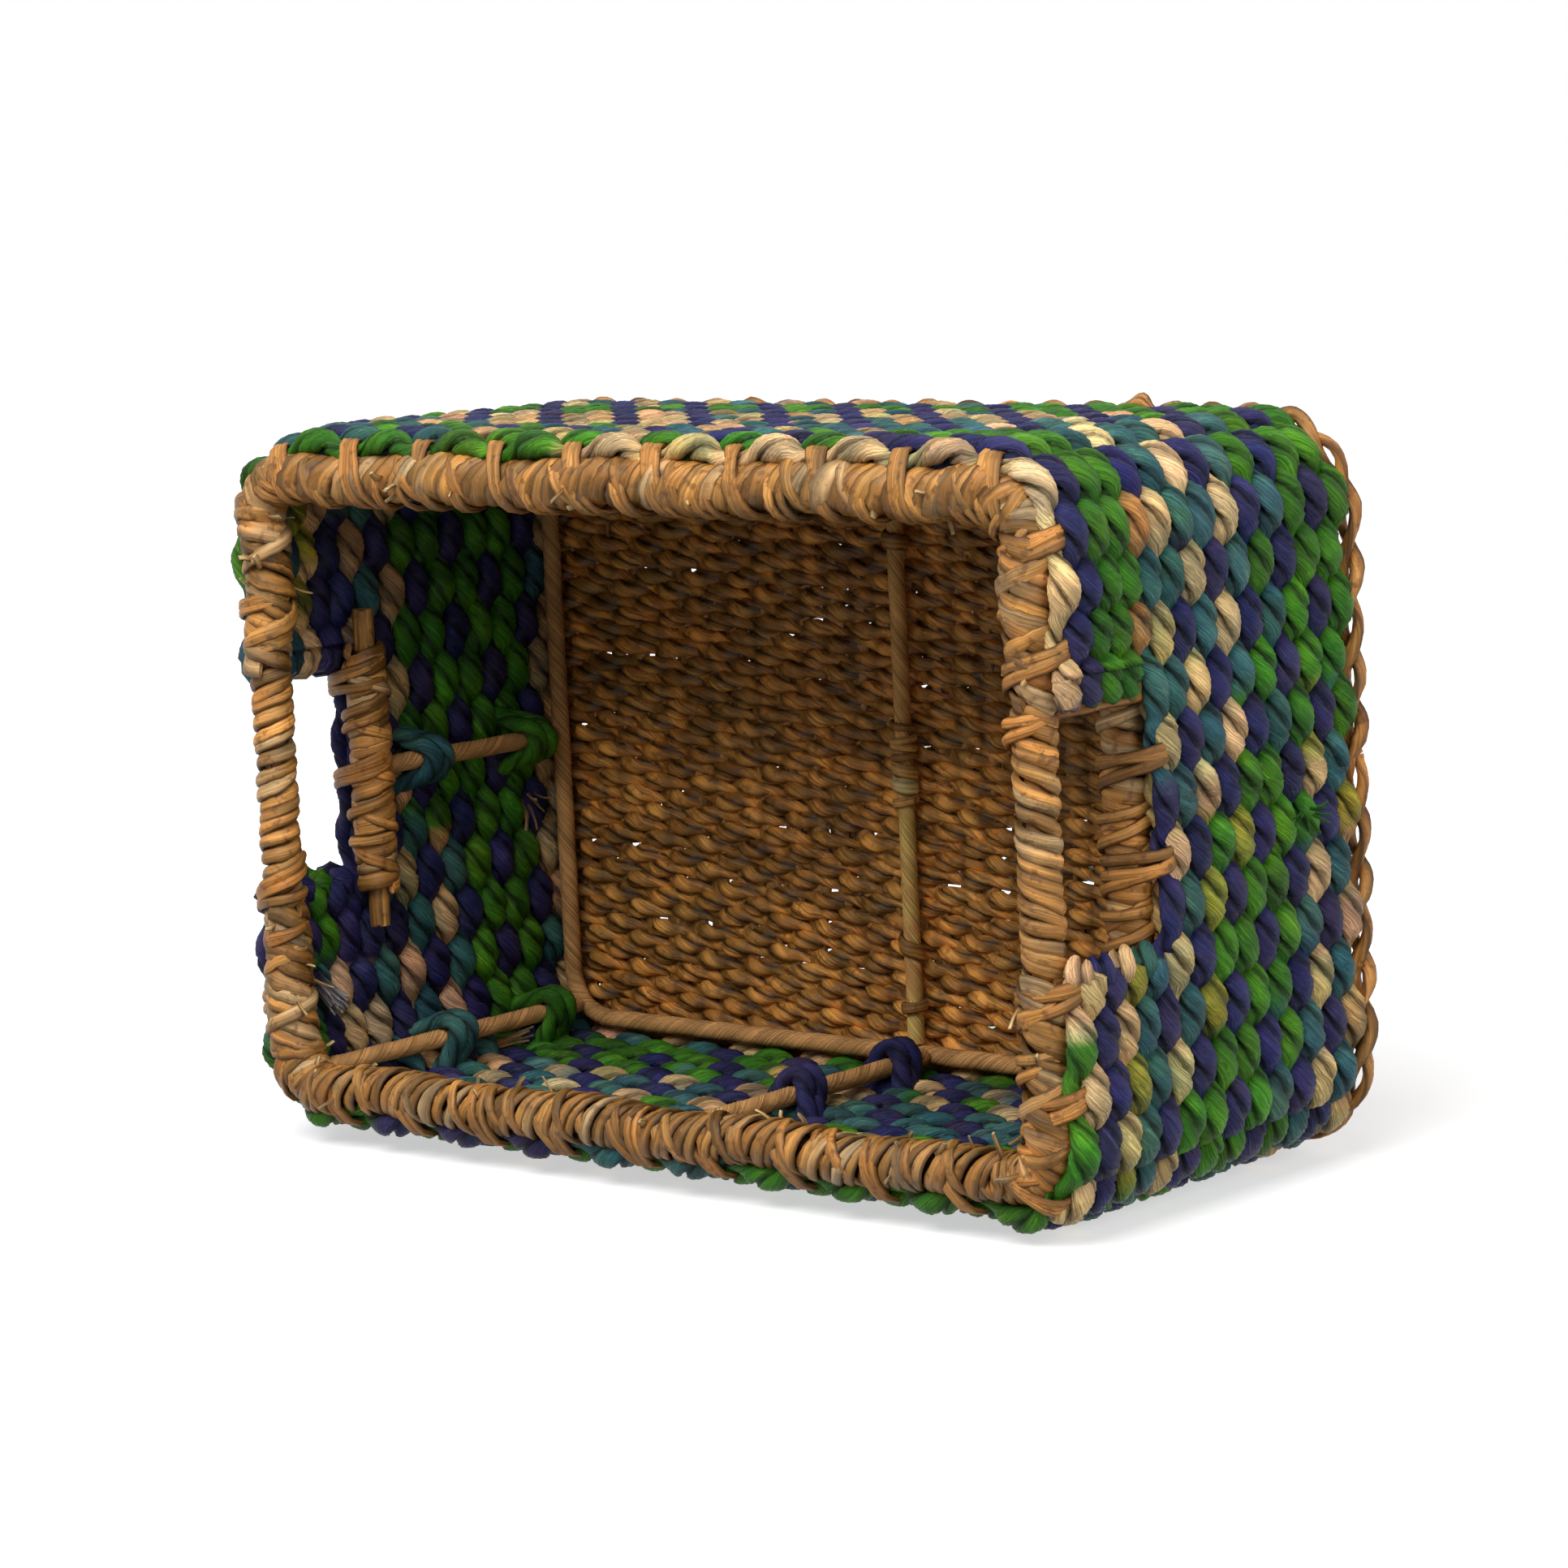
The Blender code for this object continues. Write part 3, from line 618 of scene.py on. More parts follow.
@dataclass(frozen=True)
class WallPath:
    """The wall's rounded rectangle at any height, counted in stakes.

    Stake 0 stands just behind the middle of the right wall, and the count runs
    counter-clockwise seen from above.
    """

    corner_radius: float = 0.020
    wall_offset: float = 0.0134
    stake_count: int = 66
    rod_radius: float = field(init=False)
    rim_height: float = field(init=False)
    ring_height: float = field(init=False)
    rim_half: tuple[float, float] = field(init=False)
    ring_half: tuple[float, float] = field(init=False)

    def __post_init__(self) -> None:
        """Read the frame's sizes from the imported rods."""
        radius = 0.0
        for name in ("rim", "ring"):
            low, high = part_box("rim_rod" if name == "rim" else "base_ring_rod")
            radius = radius or (high.z - low.z) / 2
            object.__setattr__(self, name + "_height", (high.z + low.z) / 2)
            object.__setattr__(self, name + "_half", (high.x - radius, high.y - radius))
        object.__setattr__(self, "rod_radius", radius)

    @property
    def arc(self) -> float:
        """Length of a corner of the wall."""
        return (self.corner_radius + self.wall_offset) * math.pi / 2

    def half_sizes(self, height: float) -> tuple[float, float]:
        """Half length and half width of the frame's centre line at a height."""
        share = (height - self.ring_height) / (self.rim_height - self.ring_height)
        return tuple(low + share * (high - low) for low, high in zip(self.ring_half, self.rim_half))

    def at(self, stake: float, offset: float, height: float) -> tuple[Vector, Vector]:
        """Find a point of the wall.

        Args:
            stake: Place along the wall, counted in stakes.
            offset: Distance outside the frame's centre line.
            height: Height above the table.

        Returns:
            The point and the outward direction there.
        """
        halves = self.half_sizes(height)
        flats = [half - self.corner_radius for half in halves]
        total = 4 * (flats[0] + flats[1] + self.arc)
        run = ((stake + 0.5) / self.stake_count * total + flats[1]) % total
        for quarter in range(4):
            half, flat = (halves[0], flats[1]) if quarter % 2 == 0 else (halves[1], flats[0])
            start = quarter * math.pi / 2
            outward = Vector((math.cos(start), math.sin(start), 0))
            onward = left_of(outward)
            if run <= 2 * flat:
                place = outward * (half + offset) + onward * (run - flat)
                return place + UP * height, outward
            run -= 2 * flat
            if run <= self.arc or quarter == 3:
                angle = start + min(run / self.arc, 1.0) * math.pi / 2
                outward_there = Vector((math.cos(angle), math.sin(angle), 0))
                centre = outward * (half - self.corner_radius) + onward * flat
                place = centre + outward_there * (self.corner_radius + offset)
                return place + UP * height, outward_there
            run -= self.arc
        raise ValueError("stake count off the wall")

    def ring(self, steps: int, offset: float, height: float, half: tuple[float, float], dye: Colour,
             turns: int = 0) -> Line:
        """Guide line of a plain strand round the whole wall.

        Args:
            steps: Pieces of the line.
            offset: Distance outside the frame's centre line.
            height: Height above the table.
            half: Half thickness and half height.
            dye: Colour.
            turns: Turns of its section.

        Returns:
            The closed line.
        """
        line = []
        for index in range(steps + 1):
            place, outward = self.at(self.stake_count * index / steps, offset, height)
            line.append(StrandPoint(place, outward, *half, dye, FULL_TURN * turns * index / steps))
        return line

    def pressed(self, stake: float) -> float:
        """Share, from 0 to 1, in which the wall's upper edge is pressed in: the left and front walls."""
        place = stake % self.stake_count
        return held((place - 24.0) / 1.6) * held(58.5 - place)

    def from_openings(self, stake: float) -> float:
        """Stakes between a place and the middle of the nearer handle opening."""
        half = self.stake_count / 2
        return min(abs((stake + 0.5 + half) % self.stake_count - half), abs(stake + 0.5 - half))

    def stake_at(self, along_y: float) -> float:
        """Stake count of a place on the right wall, from its y.

        Args:
            along_y: The place's y.

        Returns:
            The stake count.
        """
        halves = self.half_sizes((self.rim_height + self.ring_height) / 2)
        total = 4 * (halves[0] + halves[1] - 2 * self.corner_radius + self.arc)
        return along_y / total * self.stake_count - 0.5


Runs = tuple[tuple[float, Dye], ...]


def read_runs(text: str) -> Runs:
    """Read a cord's colours from stakes and names of dyes, such as "0 teal 12 green"."""
    words = text.split()
    return tuple((float(start), Dye[name.upper()]) for start, name in zip(words[::2], words[1::2]))


ROUNDS = dict(enumerate(map(read_runs, (
    "0 green 14 natural 64.5 lime",
    "0 teal 1.4 green 12 teal 30 natural 36 teal 44 green 52 teal",
    "0 navy 40 green 43 navy",
    "0 lime 1.4 green 20 natural 26 green 46 teal 52 natural 58 cream",
    "0 green 46 natural 52 teal 64.4 green",
    "0 navy",
    "0 teal 8 natural 16 green 44 teal 50 green",
    "0 green 10 teal 20 green 48 natural 54 teal 61.5 green",
    "0 navy",
    "0 green 1.5 teal 9 natural 20 green 34 teal 42 natural 50 teal 59 green",
    "0 cream 12 natural 26 green 34 natural 42 teal 56 green 64.4 lime",
    "0 navy",
    "0 teal 18 natural 24 green 33.5 teal 56 green",
    "0 cream 7 natural 48 teal 56 green 61.4 lime 65.4 natural",
    "0 navy 4.5 teal 8 navy 45 green 49 navy",
    "0 teal 14 natural 22 teal 50 green 61 teal",
    "0 cream 9 teal 16 natural 29.6 navy 36.5 natural 52 green 57 cream",
    "0.2 teal 4.6 navy 20 teal 27 navy",
    "0 tan 6 teal 14 natural 24 navy",
    "0 green 8 teal 16 green 24 natural 27.5 navy",
    "0 green 10 natural 18 teal 25.5 lime 28 cream",
    "0 green 12 navy 20 teal 25.5 lime 29 cream",
    "0 green 9 teal 18 green 25.5 navy 27.8 teal",
    "0 navy 14 natural 20 navy 25.5 teal",
    "0 navy 10 green 20 teal",
    "0 cream 17 green 28.5 teal",
)), start=1))
FRONT_ROUNDS = dict(enumerate(map(read_runs, (
    "33 navy 36.5 natural 38.5 teal 46 navy 52 teal",
    "33 navy 36 natural 38 navy 39.5 natural 50 teal",
    "33 green 36.2 navy 38.5 green 44 teal 52 green 59 lime",
    "33 green 36 teal 38 navy 50 green 57 cream",
    "33 navy 36 green 38.5 navy 44 natural 52 navy",
    "33 navy 36.5 green 37.5 teal 39.5 navy 46 teal 54 navy",
    "33 navy 36.5 green 58 cream",
    "33 navy 37.5 green 41.5 navy 47 teal 51 green 62 cream",
)), start=19))


def dye_at(runs: Runs, stake: float, count: int, blend: float = 0.35) -> Colour:
    """Colour of a cord that changes at given stakes.

    Args:
        runs: Stake at which each colour starts, in rising order.
        stake: Place along the cord.
        count: Stakes in one round.
        blend: Stakes over which one colour gives way to the next.

    Returns:
        The colour there.
    """
    stake = stake % count
    begun = [number for number, (start, _) in enumerate(runs) if start <= stake]
    index = max(begun, default=len(runs) - 1)
    start, dye = runs[index]
    lag = (stake - start) % count
    if lag < blend and len(runs) > 1:
        return tuple(Vector(runs[index - 1][1].value).lerp(Vector(dye.value), lag / blend))
    return tuple(Vector(dye.value))


def node_slots() -> dict[str, str]:
    """Material slot of every CAD node, from the record."""
    return {part["node"]: part["material_slot"] for part in frame["record"]["subparts"]}


@dataclass(frozen=True)
class Assembly:
    """What every sub-assembly is given: the wall's path, the workshop and its usual material."""

    path: WallPath
    workshop: Workshop
    finish: bpy.types.Material


@dataclass(frozen=True)
class WallCords(Assembly):
    """The woven wall: rounds of two-ply cord that pass in and out of the stakes."""

    lay: float = 0.036
    swing: float = 0.0034
    half_thick: float = 0.0050
    half_tall: float = 0.0072
    top_offset: float = 0.0134
    top_swing: float = 0.0024
    top_half_thick: float = 0.0056
    top_pinch: float = 0.38
    tuck: float = 0.0052
    point_step: float = 0.25
    loop_steps: int = 8
    loop_reach: float = 0.0052
    stake_pitch: float = 0.0203
    sill_round: int = 18
    top_round: int = 26
    sizes: StrandSizes = StrandSizes(Section.PLIES, 0.0024, 20, groove=0.58, waist=0.68,
                                     unevenness=0.18, patch=0.016, caps=False)

    def lift(self, stake: float, height: float) -> float:
        """Rise of a course above its even height, from the hand of the weaver.

        Args:
            stake: Place along the wall.
            height: Even height of the course.

        Returns:
            The rise.
        """
        count = self.path.stake_count
        place = (stake + count / 2) % count - count / 2
        middle = math.exp(-((height - 0.085) / 0.05) ** 2)
        sag = -4.0 * math.exp(-((place + 1.8) / 2.4) ** 2) * math.exp(-((height - 0.115) / 0.035) ** 2)
        swell = 3.6 * math.exp(-((place - 3.0) / 2.6) ** 2) * middle
        other = 1.2 * math.sin(place * 0.55 + 1.0) * middle if abs(place) > 7 else 0.0
        return (sag + swell + other) * MILLIMETRE

    def float_dye(self, number: int, phase: float, runs: Runs) -> Colour:
        """Colour of a round at a place, with each float a little lighter or darker than the next.

        Args:
            number: Number of the round, from the floor.
            phase: Place in the weave, counted in stakes.
            runs: Colours of the round.

        Returns:
            The colour.
        """
        count = self.path.stake_count
        chance = random.Random(number * count + math.floor(phase + 0.5) % count)
        tone = chance.uniform(0.80, 1.24)
        shifts = [chance.uniform(-share, share) for share in (0.20, 0.10, 0.16)]
        return tuple(part * tone * (1 + shift) for part, shift in zip(dye_at(runs, phase, count), shifts))

    def reach(self, number: int, stake: float) -> tuple[float, float]:
        """Offset and swing of a round, whose upper ones are pressed in at some stakes.

        Args:
            number: Number of the round.
            stake: Place along the wall.

        Returns:
            Distance outside the frame's centre line, and reach of the weave.
        """
        tucked = self.tuck * self.path.pressed(stake) * held((number - 21) / 4)
        if number == self.top_round:
            return self.top_offset - tucked, self.top_swing
        return self.path.wall_offset - tucked, self.swing

    def point(self, number: int, stake: float, phase: float, height: float, twist: float,
              runs: Runs) -> StrandPoint:
        """Make one guide point of a round.

        Args:
            number: Number of the round, from the floor.
            stake: Place along the wall.
            phase: Place in the weave, counted in stakes.
            height: Even height of the round.
            twist: Turn of the plies.
            runs: Colours of the round.

        Returns:
            The guide point.
        """
        offset, swing = self.reach(number, stake)
        level = height + self.lift(stake, height)
        half_thick, half_tall = self.half_thick, self.half_tall
        if number == self.sill_round:
            press = 1 - held((self.path.from_openings(stake) - 2.0) / 1.2)
            offset += 0.0021 * press
            swing *= 1 - 0.55 * press
            level -= 0.0042 * press
            half_thick *= 1 - 0.3 * press
        elif number == self.top_round:
            pinch = (1 - math.cos(math.pi * phase)) / 2 * self.top_pinch
            half_thick = self.top_half_thick * (1 - pinch)
            half_tall *= 1 - pinch * 0.6
        place, outward = self.path.at(stake, offset, level)
        dye = self.float_dye(number, phase, runs)
        return StrandPoint(place, outward, half_thick, half_tall, dye, twist, swing, phase + number)

    def full_round(self, number: int, height: float) -> Line:
        """Guide line of a round that closes on itself.

        Args:
            number: Number of the round.
            height: Its even height.

        Returns:
            The closed line.
        """
        path = self.path
        length = 2 * (sum(path.half_sizes(height)) * 2 - 4 * path.corner_radius) + \
            FULL_TURN * (path.corner_radius + path.wall_offset)
        turns = round(length / self.lay)
        steps = round(path.stake_count / self.point_step)
        line = []
        for index in range(steps + 1):
            stake = index * self.point_step
            twist = number * 2.4 + FULL_TURN * turns * index / steps
            line.append(self.point(number, stake, stake, height, twist, ROUNDS[number]))
        return line

    def cut_pair(self, first: int, heights: Sequence[float], ends: tuple[float, float],
                 phases: tuple[int, int], rounds: dict[int, Runs]) -> Line:
        """Guide line of two rounds that turn back round the edge stakes of the openings.

        Args:
            first: Number of the lower round.
            heights: Even heights of the two rounds.
            ends: Stake counts of the first and last edge stakes, as they stand.
            phases: The same stakes in the even weave.
            rounds: Colours of the rounds.

        Returns:
            The closed guide line.
        """
        line: Line = []
        twist = begin = first * 1.7
        spread = 2.0

        def stand(phase: float) -> float:
            """Where a stake of the even weave stands beside an opening.

            Args:
                phase: The stake's place in the even weave.

            Returns:
                Its place along the wall.
            """
            for end, edge, sign in ((phases[0], ends[0], 1), (phases[1], ends[1], -1)):
                reach = (phase - end) * sign
                if reach < spread:
                    return phase + (edge - end) * (1 - reach / spread)
            return phase

        steps = round((phases[1] - phases[0]) / self.point_step)
        for leg, other, onward in ((0, 1, 1), (1, 0, -1)):
            number = first + leg
            for index in range(steps + 1)[::onward]:
                phase = phases[0] + index * self.point_step
                line.append(self.point(number, stand(phase), phase, heights[leg], twist, rounds[number]))
                twist += FULL_TURN * self.stake_pitch * self.point_step / self.lay
            edge, phase = ends[other], phases[other]
            for index in range(1, self.loop_steps):
                angle = math.pi * index / self.loop_steps
                there = number if index / self.loop_steps < 0.5 else first + other
                offset, swing = self.reach(there, edge)
                level = heights[leg] + (heights[other] - heights[leg]) * (1 - math.cos(angle)) / 2
                level += self.lift(edge, level)
                place, outward = self.path.at(edge, offset + -onward * swing * math.cos(angle), level)
                ahead, _ = self.path.at(edge + 0.1 * onward, offset, level)
                here, _ = self.path.at(edge, offset, level)
                place = place + (ahead - here).normalized() * self.loop_reach * math.sin(angle)
                dye = self.float_dye(there, phase, rounds[there])
                line.append(StrandPoint(place, outward, self.half_thick, self.half_tall * 0.86, dye, twist,
                                        0.0, phase + number))
                twist += FULL_TURN * self.loop_reach * math.pi / self.loop_steps / self.lay
        turns = round((twist - begin) / FULL_TURN)
        scale = FULL_TURN * turns / (twist - begin)
        line = [replace(point, twist=begin + (point.twist - begin) * scale) for point in line]
        return [*line, replace(line[0], twist=begin + FULL_TURN * turns)]

    def build(self) -> None:
        """Weave every course of the wall, two rounds to a course."""
        slots = node_slots()

        def weave(place: str, draw: Callable[[Sequence[float]], Iterable[Line]]) -> None:
            """Weave the cords of one course from the heights of its rounds.

            Args:
                place: The course's number, and its side where it has one.
                draw: Gives the guide lines for the heights of the two rounds.
            """
            node = f"wall_course_{place}"
            low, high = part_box(node)
            heights = [low.z + (high.z - low.z) * share for share in (0.25, 0.75)]
            self.workshop.weave(f"cords_{place}", draw(heights), self.sizes, self.finish, slots[node], node)

        for course in range(1, 10):
            first = 2 * course - 1
            weave(f"{course:02d}", lambda heights: [self.full_round(first + part, height)
                                                    for part, height in enumerate(heights)])
        edges = {"back": ((self.path.stake_at(0.0585), 30.05), (2, 30), ROUNDS),
                 "front": ((34.95, 66 + self.path.stake_at(-0.0505)), (35, 63), FRONT_ROUNDS)}
        for course in range(10, 14):
            for side_name, edge in edges.items():
                weave(f"{course:02d}_{side_name}",
                      lambda heights: [self.cut_pair(2 * course - 1, heights, *edge)])


def smooth_line(corners: Sequence[Vector], steps: int = 4) -> list[Vector]:
    """Run a smooth curve through points.

    Args:
        corners: Points that the curve passes.
        steps: Pieces between two points.

    Returns:
        Points along the curve.
    """
    padded = [2 * corners[0] - corners[1], *corners, 2 * corners[-1] - corners[-2]]
    line = []
    for before, start, end, after in zip(padded, padded[1:], padded[2:], padded[3:]):
        for index in range(steps):
            share = index / steps
            line.append(0.5 * (2 * start + (end - before) * share
                               + (2 * before - 5 * start + 4 * end - after) * share ** 2
                               + (3 * start - before - 3 * end + after) * share ** 3))
    line.append(corners[-1].copy())
    return line


def ways(line: Sequence[Vector]) -> list[Vector]:
    """Way that a line runs at each of its points."""
    return [after - before for before, after in zip([line[0], *line], [*line[1:], line[-1]])]


def runs_along(line: Sequence[Vector]) -> list[float]:
    """Length of a line up to each of its points."""
    return [0.0, *accumulate((end - start).length for start, end in zip(line, line[1:]))]


def leaf_tone(base: Dye, chance: random.Random, spread: float = 0.3) -> Vector:
    """Pick the colour of one leaf strip about a base colour.

    Args:
        base: Usual colour of the leaf.
        chance: Source of the random draws.
        spread: Share by which strips differ.

    Returns:
        The colour.
    """
    tone = 1 + chance.uniform(-spread, spread)
    warmth = 1 + chance.uniform(-0.08, 0.08)
    red, green, blue = base.value
    return Vector((red * tone, green * tone * warmth, blue * tone * warmth ** 2))


def tone_at(tones: Sequence[Vector], share: float) -> Vector:
    """Colour at a share of a strand that changes from tone to tone."""
    mark = share * (len(tones) - 1.01)
    return tones[int(mark)].lerp(tones[int(mark) + 1], mark % 1)


@dataclass(frozen=True)
class Station:
    """One place along a core that leaf is wound on."""

    centre: Vector
    outward: Vector
    upward: Vector = UP


@dataclass(frozen=True)
class LeafWinding:
    """Overlapping leaf strips wound slantwise round a core."""

    radii: tuple[float, float]
    starts: int = 3
    spacing: float = 0.0051
    half_width: float = 0.0034
    half_thick: float = 0.0007
    tilt: float = 0.17
    hand: int = 1
    turn_steps: int = 14
    jitter: float = 0.0009
    leaf: Dye = Dye.RIM_LEAF
    core: bool = True
    seed: int = 3

    def core_line(self, station: Callable[[float], Station], length: float) -> Line:
        """Guide line of the core under the strips, coloured nearly black as painted shade in their gaps.

        Args:
            station: Gives the core's place at a distance along it.
            length: Length of the core.

        Returns:
            The line.
        """
        steps = max(4, round(length / 0.006))
        # Painted shade: the core is coloured nearly black so that the gaps between the strips look shaded.
        core_painted_shade = tuple(Vector(self.leaf.value) * 0.18)
        radii = [radius - self.half_thick * 1.4 for radius in self.radii]
        spots = [station(length * index / steps) for index in range(steps + 1)]
        return [StrandPoint(spot.centre, spot.outward, *radii, core_painted_shade) for spot in spots]

    def wind(self, station: Callable[[float], Station], length: float) -> list[Line]:
        """Wind strips round a core.

        Args:
            station: Gives the core's place at a distance along it.
            length: Length of the core.

        Returns:
            The lines.
        """
        chance = random.Random(self.seed)
        lines = [self.core_line(station, length)] if self.core else []
        lead = self.spacing * self.starts
        turns = length / lead
        knots = math.ceil(turns * 2) + 3
        steps = round(turns * self.turn_steps)
        for start in range(self.starts):
            slides = [chance.uniform(-1, 1) * self.jitter for _ in range(knots)]
            lifts = [chance.uniform(-0.2, 1) * self.jitter * 0.5 for _ in range(knots)]
            widths = [chance.uniform(0.75, 1.2) for _ in range(knots)]
            tones = [leaf_tone(self.leaf, chance, 0.55) for _ in range(knots)]
            tones = [tone.lerp(Vector(Dye.NATURAL.value), 0.7 * (chance.random() < 0.16)) for tone in tones]
            line = []
            for index in range(steps + 1):
                turn = turns * index / steps
                knot = min(turn * 2, knots - 2)
                low = int(knot)
                share = knot - low
                slide, lift, width, tone = (draws[low] * (1 - share) + draws[low + 1] * share
                                            for draws in (slides, lifts, widths, tones))
                angle = self.hand * FULL_TURN * (turn + start / self.starts)
                spot = station(min(max(lead * turn + slide, 0.0), length))
                outward = spot.outward * math.cos(angle)
                upward = spot.upward * math.sin(angle)
                place = spot.centre + outward * (self.radii[0] + lift) + upward * (self.radii[1] + lift)
                line.append(StrandPoint(place, outward + upward, self.half_thick, self.half_width * width,
                                        tuple(tone), self.tilt * self.hand))
            lines.append(line)
        return lines


LEAF_SIZES = StrandSizes(Section.LEAF, 0.0018, 10, unevenness=0.22, patch=0.007)


@dataclass(frozen=True)
class Wraps(Assembly):
    """The leaf wraps of the rim, the grips and the sills."""

    rim: LeafWinding = LeafWinding((0.0079, 0.0080), starts=4, spacing=0.0059, half_width=0.0045,
                                   half_thick=0.0014, tilt=0.38, jitter=0.0026, seed=11)
    rim_over: LeafWinding = LeafWinding((0.0086, 0.0090), starts=1, spacing=0.0270, half_thick=0.0012,
                                        tilt=0.3, hand=-1, jitter=0.0035, core=False, seed=12)
    grip: LeafWinding = LeafWinding((0.0062, 0.0064), spacing=0.0056, half_width=0.0035, half_thick=0.0018,
                                    tilt=0.36, jitter=0.0024, leaf=Dye.GRIP_LEAF, seed=23)
    sill: LeafWinding = LeafWinding((0.0070, 0.0074), starts=2, spacing=0.0054, half_width=0.0040,
                                    half_thick=0.0015, jitter=0.0018, leaf=Dye.STAKE_LEAF, seed=37)
    sill_over: LeafWinding = LeafWinding((0.0080, 0.0084), starts=1, spacing=0.0190, half_width=0.0030,
                                         half_thick=0.0011, hand=-1, jitter=0.0030, leaf=Dye.STAKE_LEAF,
                                         core=False, seed=38)
    rim_pitch: float = 0.0194
    rim_inset: float = 0.0002
    rim_pull: float = 0.0016
    wobble: float = 0.0011

    def rim_spot(self, stake: float) -> Station:
        """Give the rim bundle's place at a stake.

        Args:
            stake: Place along the wall.

        Returns:
            The station.
        """
        height = self.path.rim_height + 0.0008 + self.wobble * math.sin(stake * 1.9 + 0.6)
        _, outward = self.path.at(stake, 0.0, height)
        inset = self.rim_inset - self.rim_pull * (outward.x + outward.y)
        return Station(*self.path.at(stake, self.wobble * math.sin(stake * 1.3) - inset, height))

    def build(self) -> None:
        """Wind the rim, the two grips and the two sills."""
        def wind(name: str, node: str, windings: Sequence[LeafWinding], station: Callable[[float], Station],
                 length: float) -> None:
            """Wind one wrap in the place of a CAD node."""
            lines = [line for winding in windings for line in winding.wind(station, length)]
            self.workshop.weave(name, lines, LEAF_SIZES, self.finish, "rim_leaf", node)

        grip_end = self.path.stake_at(0.050)
        for side_name, start, end in (("back", grip_end, 32.5 - grip_end - 0.5),
                                      ("front", 32.5 + grip_end + 0.5, 66 + self.path.stake_at(-0.050))):
            length = (end - start) * self.rim_pitch
            wind(f"rim_strips_{side_name}", f"rim_wrap_{side_name}", (self.rim, self.rim_over),
                 lambda distance: self.rim_spot(start + (end - start) * distance / length), length)
        for side_name, side in (("left", -1), ("right", 1)):
            bar_low, bar_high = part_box(f"sill_bar_{side_name}")
            for kind, node, windings, x, height in (
                    ("grip", f"grip_winding_{side_name}", (self.grip,), side * self.path.rim_half[0],
                     self.path.rim_height),
                    ("sill", f"sill_wrap_{side_name}", (self.sill, self.sill_over),
                     (bar_low.x + bar_high.x) / 2, (bar_low.z + bar_high.z) / 2)):
                low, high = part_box(node)
                first = Vector((x, low.y, height))
                run = Vector((x, high.y, height)) - first
                wind(f"{kind}_strips_{side_name}", node, windings,
                     lambda distance: Station(first + run.normalized() * distance, Vector((side, 0, 0))),
                     run.length)


